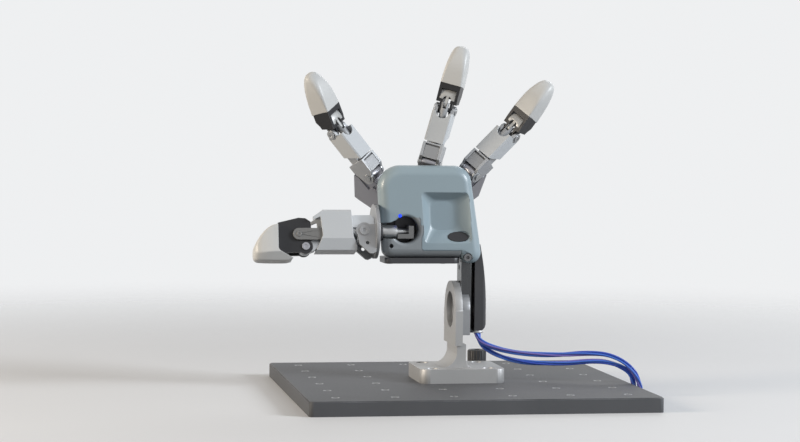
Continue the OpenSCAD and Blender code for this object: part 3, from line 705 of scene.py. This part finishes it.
@dataclass
class Viewpoint:
    """Where the camera stands, in metres, its turn in degrees and its lens in millimetres."""

    place: Point = (-0.37459, -1.88056, 0.23153)
    yaw: float = 9.771
    pitch: float = 2.327
    roll: float = 0.542
    lens: float = 96.86
    sensor: float = 36.0

    def build(self) -> None:
        """Makes the camera and gives it to the scene."""
        yaw, pitch, roll = (math.radians(a) for a in (self.yaw, self.pitch, self.roll))
        ahead = Vector(
            (math.sin(yaw) * math.cos(pitch), math.cos(yaw) * math.cos(pitch), -math.sin(pitch))
        )
        right = Vector((math.cos(yaw), -math.sin(yaw), 0))
        up = right.cross(ahead)
        right, up = (
            right * math.cos(roll) + up * math.sin(roll),
            up * math.cos(roll) - right * math.sin(roll),
        )
        turn = Matrix((right, up, -ahead)).transposed().to_4x4()
        data = bpy.data.cameras.new("camera")
        data.lens = self.lens
        data.sensor_width = self.sensor
        camera = add_object("camera", data)
        camera.matrix_world = Matrix.Translation(self.place) @ turn
        bpy.context.scene.camera = camera
        LOG.info("camera placed, lens %.1f mm", self.lens)


@dataclass(frozen=True)
class Lamp:
    """A soft square lamp: where it hangs and its side, both in metres, its watts and its colour."""

    name: str
    place: Point
    side: float
    power: float
    colour: Colour

    def build(self, target: Point) -> None:
        """Hangs the lamp and aims it.

        Args:
            target: The point that it lights, in metres.
        """
        data = bpy.data.lights.new(self.name, "AREA")
        data.shape = "SQUARE"
        data.size = self.side
        data.energy = self.power
        data.color = self.colour
        lamp = add_object(self.name, data)
        lamp.location = self.place
        aim = Vector(target) - Vector(self.place)
        lamp.rotation_mode = "QUATERNION"
        lamp.rotation_quaternion = aim.to_track_quat("-Z", "Y")


@dataclass
class Studio:
    """A pale floor and backdrop under soft lamps, with its lengths in metres."""

    floor_reach: float = 12.0
    floor_colour: Colour = (0.78, 0.78, 0.79)
    speckle_shade: float = 0.97
    fade_start: float = 0.35
    fade_end: float = 1.5
    bounce: float = 0.35
    sky_colour: Colour = (0.93, 0.96, 1.0)
    sky_strength: float = 0.16
    backdrop_colour: Colour = (0.86, 0.87, 0.88)
    backdrop_strength: float = 1.0
    target: Point = (-0.03, 0, 0.15)
    lamps: tuple[Lamp, ...] = (
        Lamp("key", (2.1, -1.3, 1.1), side=0.8, power=66, colour=(0.9, 0.95, 1.0)),
        Lamp("warm_side", (-2.1, -0.35, 0.7), side=0.7, power=36, colour=(1.0, 0.88, 0.72)),
        Lamp("front", (-0.6, -2.2, 1.6), side=1.4, power=5, colour=(1.0, 0.98, 0.96)),
        Lamp("rim", (0.9, 1.4, 1.2), side=0.8, power=5, colour=(0.96, 0.98, 1.0)),
    )

    def build(self) -> None:
        """Makes the floor, the world and the lamps."""
        self._floor()
        self._world()
        for lamp in self.lamps:
            lamp.build(self.target)
        LOG.info("studio lit by %d lamps", len(self.lamps))

    def _floor(self) -> None:
        """Lays the floor, which fades into the backdrop far from the object.

        It shows its full colour where it is seen or mirrored, but throws back less light than that.
        """
        bpy.ops.mesh.primitive_plane_add(size=2 * self.floor_reach)
        floor = bpy.context.object
        floor.name = "floor"
        bench = NodeBench(bpy.data.materials.new("floor"))
        place = bench.add("ShaderNodeTexCoord").outputs["Object"]
        speckle = bench.add("ShaderNodeTexNoise", place, Scale=6.0, Detail=4.0)
        darker, dimmed = (
            tuple(c * share for c in self.floor_colour)
            for share in (self.speckle_shade, self.bounce)
        )
        seen = bench.mixed(speckle.outputs["Fac"], self.floor_colour, darker)
        paint = bench.add(
            "ShaderNodeBsdfPrincipled", bench.mixed(bench.shown(), dimmed, seen), Roughness=0.6
        )
        clear = bench.add("ShaderNodeBsdfTransparent")
        far = bench.add("ShaderNodeVectorMath", place, operation="LENGTH")
        fade = bench.add(
            "ShaderNodeMapRange",
            far.outputs["Value"],
            From_Min=self.fade_start,
            From_Max=self.fade_end,
            interpolation_type="SMOOTHSTEP",
        )
        both = bench.add("ShaderNodeMixShader", fade.outputs[0], paint.outputs[0], clear.outputs[0])
        bench.add("ShaderNodeOutputMaterial", both.outputs["Shader"])
        floor.data.materials.append(bench.owner)

    def _world(self) -> None:
        """Lights from all round at a low level, with a pale backdrop where it is seen."""
        world = bpy.data.worlds.new("studio")
        bpy.context.scene.world = world
        bench = NodeBench(world)
        soft, seen = (
            bench.add("ShaderNodeBackground", colour, strength).outputs["Background"]
            for colour, strength in (
                (self.sky_colour, self.sky_strength),
                (self.backdrop_colour, self.backdrop_strength),
            )
        )
        both = bench.add("ShaderNodeMixShader", bench.shown(), soft, seen)
        bench.add("ShaderNodeOutputWorld", both.outputs["Shader"])


# ---- wires ----


@dataclass
class WireBundle:
    """Two strands of four thin wires, from the gland under the wrist to a plug behind the plate.

    The route is the bundle's middle line, and the split is how far each strand lies aside of it and
    above it at the route's first points. The wires of a strand wind about each other by up to
    winding radians as far as the loose points go, at a pace of winding_rate radians a point.
    """

    wire_d: float = 1.9
    spare: float = 0.02
    exit_z: float = 54.4
    plug_bite: float = 0.3
    winding: float = 2.2
    winding_rate: float = 0.22
    loose_points: int = 20
    steps: int = 5
    finishes: tuple[Finish, ...] = (WIRE_BLUE, WIRE_DEEP, WIRE_BLUE, WIRE_VIOLET)
    route: Sequence[Point] = (
        (20.3, 0, 53), (21.8, -1, 48.5), (26, -3, 43.5), (33, -5, 39.5), (41, -8, 36.5),
        (50, -11, 34.3), (59, -14, 33), (68, -17, 32.4), (78, -20, 32.2), (88, -23, 32.4),
        (98, -26, 33), (108, -29, 34), (118, -32, 34.6), (128, -35, 34.2), (137, -38, 32),
        (145, -40, 28), (151.5, -41, 22.5), (155.5, -40, 15.5), (158, -37, 9), (160, -31, 4.6),
        (161.5, -21, 2.8), (162, -10, 2.6), (162, 2, 2.6), (162.5, 14, 2.6), (163, 26, 2.6),
        (163, 38, 2.6), (162.5, 50, 2.6), (162, 62, 2.6), (162, 74, 2.6), (162.5, 86, 2.6),
        (163, 98, 2.6), (163, 110, 2.6), (162.5, 122, 2.6), (161.5, 134, 2.6), (159, 145, 2.6),
        (154, 154.5, 2.6), (146, 161, 2.6), (136, 164.5, 2.6), (126, 166, 2.6), (116, 166, 2.6),
    )
    split: Sequence[Flat] = (
        (2.6, 0), (2.5, 0.8), (2.1, 1.7), (1.5, 2.5), (0.9, 3.1), (0.4, 3.5), (0, 3.7), (0, 3.8),
        (0, 3.8), (0, 3.8), (0, 3.8), (0, 3.7), (0, 3.5), (0, 3.3), (0.8, 3), (1.5, 2.4),
        (2.2, 1.5), (2.6, 0.6), (2.7, 0),
    )

    def build(self) -> None:
        """Draws the eight wires in place of the plain strands and dresses the plug."""
        for strand, sign in (("upper_wires", 1), ("lower_wires", -1)):
            for k in range(len(self.finishes)):
                path = self._wire_path(sign, k)
                name = f"{strand[:5]}_wire_{k + 1}"
                wire = self._tube(name, path, self.finishes[(k + (sign < 0)) % len(self.finishes)])
                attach(wire, "stand")
                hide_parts(strand)
        dress("wire_plug", BLACK_PLASTIC, 0.25)

    def _frames(self) -> list[tuple[Vector, Vector, Vector]]:
        """Finds which way the bundle runs at each point of its route.

        Returns:
            The route's points, each with its sideways and upward directions.
        """
        points = [Vector(p) for p in self.route]
        found = []
        for i, here in enumerate(points):
            ahead = (points[min(i + 1, len(points) - 1)] - points[max(i - 1, 0)]).normalized()
            side = ahead.cross(Vector((0, 0, 1))).normalized()
            found.append((here, side, side.cross(ahead)))
        return found

    def _wire_path(self, sign: int, k: int) -> list[Vector]:
        """The line of one wire, in metres.

        Args:
            sign: 1 for the upper strand, -1 for the lower.
            k: Which of the strand's four wires.

        Returns:
            The wire's points, from the gland to the plug.
        """
        points = []
        # four round wires in a square touch at this distance from its middle
        reach = self.wire_d * 0.7072 + self.spare
        for i, (here, side, up) in enumerate(self._frames()):
            across, above = self.split[min(i, len(self.split) - 1)]
            loose = math.sin(math.pi * min(i, self.loose_points) / self.loose_points)
            angle = math.pi / 4 + k * math.pi / 2
            angle += sign * self.winding * math.sin(i * self.winding_rate + sign) * loose
            points.append(
                here
                + (sign * across + reach * math.cos(angle)) * side
                + (sign * above + reach * math.sin(angle)) * up
            )
        points[0].z = self.exit_z
        points[-1].x -= self.plug_bite
        return [p * MM for p in smooth_line(points, self.steps)]

    def _tube(self, name: str, path: Sequence[Vector], finish: Finish) -> bpy.types.Object:
        """Makes one wire as a curve with a round section.

        Args:
            name: The wire's name.
            path: Its points, in metres.
            finish: Its insulation.

        Returns:
            The curve object.
        """
        curve = bpy.data.curves.new(name, "CURVE")
        curve.dimensions = "3D"
        curve.bevel_depth = self.wire_d / 2 * MM
        curve.bevel_resolution = 3
        curve.use_fill_caps = True
        spline = curve.splines.new("POLY")
        spline.points.add(len(path) - 1)
        for point, place in zip(spline.points, path):
            point.co = (*place, 1)
        curve.materials.append(finish.material())
        return add_object(name, curve)


# ---- the hand ----


@dataclass
class Stand:
    """The base plate with its bracket, screws, knob and the inserts of its tapped holes."""

    plate_top: float = 12.7
    pitch: float = 50.0
    holes_a_side: int = 6
    insert_sides: int = 24
    # radius and height over the plate's top, round one insert's wall
    insert_wall: Sequence[Flat] = (
        (2.5, -5.0), (2.5, 0.0), (2.7, 0.06), (3.5, 0.06), (3.55, 0.0), (2.88, -0.4), (2.88, -5.0),
    )
    looks: Looks = (
        ("base_plate", PLATE, 0.3),
        ("stand_bracket", BLASTED, 0.5),
        ("cap_screws", SCREW_METAL, 0.2),
        ("stop_knob", BLACK_METAL, 0.12),
    )

    def build(self) -> None:
        """Dresses the stand's pieces."""
        dress_all(self.looks)
        self._inserts()

    def _inserts(self) -> None:
        """Lines the plate's tapped holes with thin steel inserts whose lips show on top."""
        turns, count = self.insert_sides, len(self.insert_wall)
        wall = [
            Vector((r * x, r * y, self.plate_top + z))
            for x, y in circle((0, 0), 1, turns)
            for r, z in self.insert_wall
        ]
        points: list[Vector] = []
        faces: list[list[int]] = []
        offsets = [(i - (self.holes_a_side - 1) / 2) * self.pitch for i in range(self.holes_a_side)]
        for hole in (Vector((x, y, 0)) for x in offsets for y in offsets):
            first = len(points)
            points += [hole + p for p in wall]
            for k in range(turns):
                a, b = first + k * count, first + (k + 1) % turns * count
                faces += [
                    [a + j, a + (j + 1) % count, b + (j + 1) % count, b + j] for j in range(count)
                ]
        inserts = place_mesh("hole_inserts", points, faces, POLISHED)
        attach(inserts, "stand")
        LOG.info("lined %d holes", len(offsets) ** 2)


@dataclass
class Wrist:
    """The flange, post and cover that carry the hand, and the gland of the wires."""

    looks: Looks = (
        ("wrist_flange", YOKE_METAL, 0.4),
        ("wrist_post", STEEL, 0.3),
        ("wrist_cover", BLACK_PLASTIC, 0.6),
        ("wire_gland", BRIGHT, 0.15),
    )

    def build(self) -> None:
        """Dresses the wrist's pieces."""
        dress_all(self.looks)


@dataclass(frozen=True)
class Scoop:
    """The palm's scoop: a steep left wall, a long right one and a straight ramp below.

    Each run is how far that side draws in from the scoop's rim to its floor. Rim_roll and foot_roll
    are the shares of the wall that roll into the face above it and the floor below it.
    """

    front: float
    depth: float = 8.0
    top: float = 180.6
    top_run: float = 9.0
    low: float = 135.2
    low_run: float = 11.5
    right: float = 9.2
    right_run: float = 15.0
    right_bow: float = 1.3
    right_slant: Flat = (1.4, -1.2)
    low_left: float = -32.2
    low_left_run: float = 7.5
    top_left: float = -36.2
    top_left_run: float = 10.5
    corner: float = 3.2
    corner_growth: float = 3.6
    rim_roll: float = 0.1
    foot_roll: float = 0.34
    steps: int = 24

    def tool(self) -> bpy.types.Object:
        """Lofts the scoop's cutter.

        Returns:
            The cutter, which stands out in front of the face.
        """
        rings = [self._ring(0, self.front - OVERSHOOT)]
        for k in range(self.steps + 1):
            u = k / self.steps
            rings.append(self._ring(u, self.front - SKIM + self.depth * self._wall(u)))
        return cutter(rings)

    def _ring(self, u: float, y: float) -> list[Vector]:
        """The scoop's outline at u of the way from its rim to its floor.

        Args:
            u: 0 at the rim and 1 at the floor.
            y: How deep the outline lies.

        Returns:
            The outline's points.
        """
        top = self.top - self.top_run * u
        low = self.low + self.low_run * self._wall(u)
        right = self.right - self.right_run * u**self.right_bow
        corners = (
            (self.low_left + self.low_left_run * u, low),
            (right + self.right_slant[0], low),
            (right + self.right_slant[1], top),
            (self.top_left + self.top_left_run * u, top),
        )
        return ring_at(fillet_ring(corners, self.corner + self.corner_growth * u, 8), y)

    def _wall(self, u: float) -> float:
        """The wall's profile, which is straight with a roll at each end.

        Args:
            u: 0 at the rim and 1 at the floor.

        Returns:
            How much of the depth is reached at u.
        """
        rim, foot = self.rim_roll, self.foot_roll
        scale = 1 / (1 - rim / 2 - foot / 2)
        if u < rim:
            return scale * u * u / (2 * rim)
        if u > 1 - foot:
            return 1 - scale * (1 - u) ** 2 / (2 * foot)
        return scale * (u - rim / 2)


@dataclass(frozen=True)
class PalmFace:
    """The moulded face of the palm: cover and lower panel, with scoop, arch, window and screws.

    Main and lobe are the discs, each with its middle in X and Z and its radius, that the two parts
    of the outline are stretched round. Each bore is a middle, a radius and how deep it reaches.
    """

    front: float = -22.0
    back: float = -8.0
    rounding: float = 9.0
    rounding_steps: int = 12
    easing: float = 0.7
    easing_slope: float = 1.6
    middle: Flat = (-26.0, 152.0)
    main: Sequence[Point] = (
        (-53.1, 183.6, 20), (-5.4, 187.6, 16), (-61.5, 129.9, 7.5), (6, 131.4, 9)
    )
    lobe: Sequence[Point] = ((-5.4, 187.6, 16), (9.9, 127, 9.8))
    through: float = 45.0
    arch: Point = (-49.2, 147.2, 11.8)
    arch_rim: float = 3.0
    arch_end: float = 10.0
    arch_steps: int = 8
    shaft_slot: Sequence[Flat] = (
        (-90, 139.1), (-49.2, 139.1), (-49.2, 150), (-57.5, 155.6), (-63, 153.7), (-71, 153),
        (-90, 153),
    )
    bores: Sequence[tuple[Flat, float, float]] = (
        ((6.7, 122.8), 3.9, -17.8), ((6.7, 122.8), 2.0, 5), ((-54.4, 159.4), 1.6, 5),
        ((-61.8, 132.9), 1.9, -12),
    )
    wrist_room: Sequence[tuple[Point, Point]] = (
        ((3, -9.2, 110), (15.2, 9.2, 143.3)), ((15.2, -11.2, 110), (35.2, 11.2, 134.3))
    )
    bushing_middle: Flat = (-13, 145.3)
    bushing_radius: float = 8.3
    bushing_reach: Flat = (-76, -67)
    window_place: Point = (-1.5, -18.7, 141.2)
    window_tilt: float = 54.0
    window_squash: float = 0.55
    # radius and height over the pane
    window_wall: Sequence[Flat] = ((9.5, -2.4), (9.5, -0.3), (10.0, 0.4), (10.6, 6))
    seam_gap: float = 0.35
    seam_width: float = 4.0

    def build(self) -> None:
        """Moulds the face, cuts it along its seam and dresses both halves."""
        face = self._blank()
        for tool in self._tools():
            carve(face, tool)
        panel = add_object("lower_panel_skin", face.data.copy())
        for piece, node, finish, slot, gap, keep in (
            (face, "palm_cover", PALM_PAINT, "shell_blue_grey", self.seam_gap, Keep.OUTSIDE),
            (panel, "lower_panel", PANEL_PAINT, "panel_grey", 0.0, Keep.INSIDE),
        ):
            carve(piece, prism(self._seam(gap), -self.through, self.through), keep)
            piece.name = f"{node}_skin"
            piece.data.materials.clear()
            piece.data.materials.append(finish.material())
            settle_shading(piece, 30)
            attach(piece, "stand")
            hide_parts(node)
            LOG.info("moulded %s with %d faces", piece.name, len(piece.data.polygons))

    def _outline(self, inset: float, rays: int = 280, sides: int = 720) -> list[Flat]:
        """The face's outline drawn in by inset, found along rays from its middle.

        Args:
            inset: How far each edge is drawn in.
            rays: How many points the outline has.
            sides: How many straight edges stand in for a disc's round one.

        Returns:
            The outline's points in X and Z.
        """
        start = self.middle
        normals = circle((0, 0), 1, sides)
        found = []
        for ray in circle((0, 0), 1, rays):
            best = 0.0
            for discs in (self.main, self.lobe):
                near, far = 0.0, 1e9
                for n in normals:
                    edge = max(n[0] * d[0] + n[1] * d[1] + max(d[2] - inset, 0) for d in discs)
                    room = edge - n[0] * start[0] - n[1] * start[1]
                    along = n[0] * ray[0] + n[1] * ray[1]
                    if along > 1e-9:
                        far = min(far, room / along)
                    elif along < -1e-9:
                        near = max(near, room / along)
                if near <= far:
                    best = max(best, far)
            found.append((start[0] + ray[0] * best, start[1] + ray[1] * best))
        return found

    def _blank(self) -> bpy.types.Object:
        """Lofts the face with its rounded front edge and eased back edge.

        Returns:
            The face before anything is cut from it.
        """
        rings = [
            ring_at(self._outline(self.easing), self.back),
            ring_at(self._outline(0.0), self.back - self.easing_slope * self.easing),
        ]
        for k in range(self.rounding_steps + 1):
            turn = math.pi / 2 * k / self.rounding_steps
            outline = self._outline(self.rounding * (1 - math.cos(turn)))
            rings.append(ring_at(outline, self.front + self.rounding * (1 - math.sin(turn))))
        return loft("palm_cover_skin", rings, PALM_PAINT)

    def _tools(self) -> list[bpy.types.Object]:
        """Makes everything that is cut from the face.

        Returns:
            The cutters of the scoop, arch, window, shaft, screws, light, wrist and bushing.
        """
        tools = [Scoop(self.front).tool(), self._arch_tool(), self._window_tool()]
        tools.append(prism(self.shaft_slot, -self.through, self.through))
        tools += [prism(circle(p, r, 32), -self.through, depth) for p, r, depth in self.bores]
        for low, high in self.wrist_room:
            outline = [(low[0], low[2]), (high[0], low[2]), (high[0], high[2]), (low[0], high[2])]
            tools.append(prism(outline, low[1], high[1]))
        ring = circle(self.bushing_middle, self.bushing_radius, 60)
        tools.append(cutter([[Vector((x, y, z)) for y, z in ring] for x in self.bushing_reach]))
        return tools

    def _arch_tool(self) -> bpy.types.Object:
        """Lofts the arch with its rolled rim.

        Returns:
            The arch's cutter.
        """
        x, z, r = self.arch
        wall = [(r + self.arch_rim, self.front - OVERSHOOT)]
        for k in range(self.arch_steps + 1):
            turn = math.pi / 2 * k / self.arch_steps
            radius = r + self.arch_rim * (1 - math.sin(turn))
            wall.append((radius, self.front - SKIM + self.arch_rim * (1 - math.cos(turn))))
        wall.append((r, self.arch_end))
        return cutter([ring_at(circle((x, z), radius, 72), y) for radius, y in wall])

    def _window_tool(self) -> bpy.types.Object:
        """Lofts the camera window's pocket, which widens towards the front.

        Returns:
            The pocket's cutter.
        """
        tilt = Matrix.Rotation(math.radians(self.window_tilt), 4, "X")
        place = Matrix.Translation(self.window_place) @ tilt
        return cutter([
            [place @ Vector((a, b * self.window_squash, z)) for a, b in circle((0, 0), r, 60)]
            for r, z in self.window_wall
        ])

    def _seam(self, gap: float) -> list[Flat]:
        """The outline of the lower panel, grown by a gap.

        It runs along the foot, back to the left over the lobe, up beside the scoop, round the arch
        with one step in it, and out to the thumb's side.

        Args:
            gap: How far it is grown.

        Returns:
            The outline's points in X and Z.
        """
        x, z, r = self.arch
        reach = r + self.seam_width + gap
        side, step, step_low, step_high = 14.3 + gap, 13.2 + gap, 3.8, 10.8
        turns = (
            -math.acos(side / reach), math.asin(step_low / reach),
            math.acos(step / reach), math.asin(step_high / reach),
        )
        low, mid, high, end = (math.degrees(turn) for turn in turns)
        return [
            (-90, 110), (0.8 + gap, 110), (0.8 + gap, 128.5 + gap),
            *arc((-31.9, 131.5), 3 - gap, 270, 180, 6),
            *arc((x, z), reach, low, mid, 8),
            (x + step, z + step_low),
            *arc((x, z), reach, high, end, 3),
            (-50 - gap, 158), (-50 - gap, 147.9), (-90, 147.9),
        ]


@dataclass
class Palm:
    """The palm's covers, its core and what shows through them."""

    face: PalmFace = PalmFace()
    looks: Looks = (
        ("back_cover", PALM_PAINT, 0.4),
        # the core is dressed black so that the hollows seen through the arch and the seams read
        # dark: painted shade
        ("palm_chassis", BLACK_PLASTIC, 0.3),
        ("bottom_plate", BLACK_PLASTIC, 0.5),
        ("camera_window", WINDOW, 0),
        ("status_light", LIGHT, 0),
        ("thumb_mount", LINK_METAL, 0.3),
        ("thumb_bushing", BLACK_PLASTIC, 0.3),
    )

    def build(self) -> None:
        """Moulds the palm's face and dresses its other pieces."""
        self.face.build()
        dress_all(self.looks)


@dataclass
class Thumb:
    """The thumb, from the shaft in the palm to its cap."""

    origin: Point = (-90, -13, 147)
    roll: float = 15.0
    hinge: Point = (0, 17, 48)
    stud_place: Point = (-11.85, -10.6, 6)
    # radius and height, from the middle of the stud's face to that of its foot
    stud: Sequence[Flat] = (
        (0.0, 0.35), (1.0, 0.35), (1.15, 0.8), (2.0, 0.8), (2.35, 0.55), (2.35, 0.0), (0.0, 0.0),
    )
    # height along the tip, palm edge, side's lower edge, back, half width, half width of the back,
    # corner radius
    cap_rows: Sequence[Sequence[float]] = (
        (24.25, -19.0, 4.8, 11.8, 12.7, 7.3, 1.0), (24.6, -19.4, 5, 12, 13, 7.5, 1.2),
        (29, -18.4, 5.2, 12.1, 13, 7.5, 1.6), (34, -15.4, 5.6, 12.1, 12.5, 7.2, 2.2),
        (38.5, -10.8, 5.8, 12.1, 11.6, 6.6, 3.0), (41.8, -6.2, 5.8, 11.9, 10.2, 6, 3.6),
        (44.0, -2.0, 5.6, 11.0, 8.2, 5, 3.6), (45.2, 1.6, 5.4, 9.2, 5.2, 3.4, 2.8),
        (45.5, 4.2, 5.5, 7.0, 1.6, 1.0, 0.8),
    )
    # distance towards the back where the cap's tail starts, is longest and ends, its length there,
    # and the height along the tip above which the cap keeps its shape
    tail_start: float = 3.6
    tail_crest: float = 10.4
    tail_end: float = 12.0
    tail_length: float = 13.4
    tail_rise: float = 5.6
    tail_top: float = 29.0
    looks: Looks = (
        ("shaft", POLISHED, 0.25),
        ("yoke", YOKE_METAL, 0.35),
        ("block", GREY_METAL, 0.4),
        ("knuckle_pin", YOKE_METAL, 0.15),
        ("hinge_pin", DARK_METAL, 0.15),
        ("frame", GREY_METAL, 0.4),
        ("shell", SHELL_PAINT, 0.4),
        ("link", LINK_METAL, 0.35),
        ("fork", BLACK_METAL, 0.5),
    )

    def build(self) -> None:
        """Dresses the thumb's pieces."""
        dress_all(self.looks, "thumb_")
        self._cap()
        self._stud()

    def _tip(self) -> Matrix:
        """Finds where the thumb's tip stands.

        Returns:
            The tip's own frame, in millimetres.
        """
        return (
            Matrix.Translation(self.origin)
            @ Matrix.Rotation(math.radians(-90 - self.roll), 4, "X")
            @ Matrix.Rotation(math.radians(-90), 4, "Y")
            @ Matrix.Translation(self.hinge)
        )

    def _stud(self) -> None:
        """Turns the head of the pin that joins the link to the fork."""
        across = Matrix.Rotation(math.radians(-90), 4, "Y")
        place = self._tip() @ Matrix.Translation(self.stud_place) @ across
        stud = turned("thumb_link_stud", self.stud, place, LINK_METAL)
        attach(stud, "thumb_slider")
        LOG.info("turned %s", stud.name)

    def _cap(self) -> None:
        """Moulds the thumb's cap, six-sided at its base and rounded at its end."""
        rings = []
        steps, straight = 5, 10
        for z, low, side, back, half, flat, radius in blend_rows(self.cap_rows, 5):
            outline = [
                (-half, low), (half, low), (half, side), (flat, back), (-flat, back), (-half, side)
            ]
            ring = fillet_ring(outline, radius, steps, straight)
            rings.append([self._tip() @ Vector((x, y, self._tailed(y, z))) for x, y in ring])
        mould_cap("thumb", rings, 2 * steps + straight)

    def _tailed(self, y: float, z: float) -> float:
        """Draws the low edge of the cap out into the tail that covers the side of the fork.

        Args:
            y: A point's distance towards the thumb's back.
            z: Its height along the tip before the tail.

        Returns:
            Its height with the tail.
        """
        if y < self.tail_start or z > self.tail_top:
            return z
        if y < self.tail_crest:
            drop = self.tail_length * (y - self.tail_start) / (self.tail_crest - self.tail_start)
        else:
            past = (y - self.tail_crest) / (self.tail_end - self.tail_crest)
            drop = self.tail_length - self.tail_rise * past
        return z - drop * (self.tail_top - z) / (self.tail_top - self.cap_rows[0][0])


@dataclass
class Finger:
    """One finger, from its carrier in the palm to its cap."""

    name: str
    knuckle: Point
    lean: float
    twist: float
    bend: float
    hinge: Point = (0, 2, 49.5)
    # height along the tip, front, back, half width, corner radius as a share of the half width
    cap_rows: Sequence[Sequence[float]] = (
        (23.62, -5.45, 13.55, 9.45, 0.1), (23.9, -5.7, 13.8, 9.7, 0.13),
        (30, -5.5, 13.95, 9.6, 0.2), (37.5, -5.0, 14, 9.4, 0.32), (43, -4.0, 13.9, 9.05, 0.46),
        (47.5, -2.6, 13.6, 8.5, 0.6), (51, -1.1, 13.0, 7.9, 0.76), (53.6, 0.6, 12.2, 7.1, 0.9),
        (55.6, 2.4, 11.0, 5.8, 1.0), (56.9, 4.2, 9.6, 3.9, 1.0), (57.5, 6.1, 7.8, 1.3, 1.0),
    )
    tail_length: float = 3.2
    tail_bow: float = 1.4
    tail_top: float = 30.0
    looks: Looks = (
        ("carrier", DARK_METAL, 0.4),
        ("knuckle_pin", POLISHED, 0.15),
        ("frame", FRAME_METAL, 0.25),
        ("actuator", YOKE_METAL, 0.3),
        ("shell", SHELL_PAINT, 0.35),
        ("push_rod", ROD_METAL, 0.25),
        ("hinge_pin", POLISHED, 0.12),
        ("fork", BLACK_METAL, 0.35),
        ("horn", HORN_METAL, 0.3),
    )

    def build(self) -> None:
        """Dresses the finger's pieces."""
        dress_all(self.looks, f"{self.name}_")
        self._cap()

    def _tip(self) -> Matrix:
        """Finds where the fingertip stands.

        Returns:
            The tip's own frame, in millimetres.
        """
        return (
            Matrix.Translation(self.knuckle)
            @ Matrix.Rotation(math.radians(self.lean), 4, "Y")
            @ Matrix.Rotation(math.radians(self.twist), 4, "Z")
            @ Matrix.Translation(self.hinge)
            @ Matrix.Rotation(math.radians(self.bend), 4, "X")
        )

    def _cap(self) -> None:
        """Moulds the fingertip: creased at its base and rounded to its end."""
        rings = []
        steps, straight = 7, 6
        for z, front, back, half, share in blend_rows(self.cap_rows, 4):
            outline = [(-half, front), (half, front), (half, back), (-half, back)]
            radius = share * min(half, (back - front) / 2)
            low = max(0.0, (self.tail_top - z) / (self.tail_top - self.cap_rows[0][0]))
            ring = []
            for x, y in fillet_ring(outline, radius, steps, straight):
                share_back = max(0.0, y - front) / (back - front)
                drop = self.tail_length * low * share_back**self.tail_bow
                ring.append(self._tip() @ Vector((x, y, z - drop)))
            rings.append(ring)
        mould_cap(self.name, rings, 2 * steps + straight)


def main() -> None:
    """Builds the camera and wires first, then the hand and its studio."""
    logging.basicConfig(level=logging.INFO, format="%(name)s: %(message)s")
    bpy.context.scene.view_settings.view_transform = "Standard"
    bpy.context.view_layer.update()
    Viewpoint().build()
    WireBundle().build()
    Stand().build()
    Wrist().build()
    Palm().build()
    Thumb().build()
    for finger in (
        Finger("index", knuckle=(-74.8, 5, 196.2), lean=-39, twist=38, bend=24),
        Finger("middle", knuckle=(-23.5, 5, 206), lean=15.7, twist=-20.4, bend=9),
        Finger("ring", knuckle=(13.7, 5, 198.7), lean=44.6, twist=-36.6, bend=19),
    ):
        finger.build()
    Studio().build()
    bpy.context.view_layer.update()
    LOG.info("sizes written")


if __name__ == "__main__":
    main()
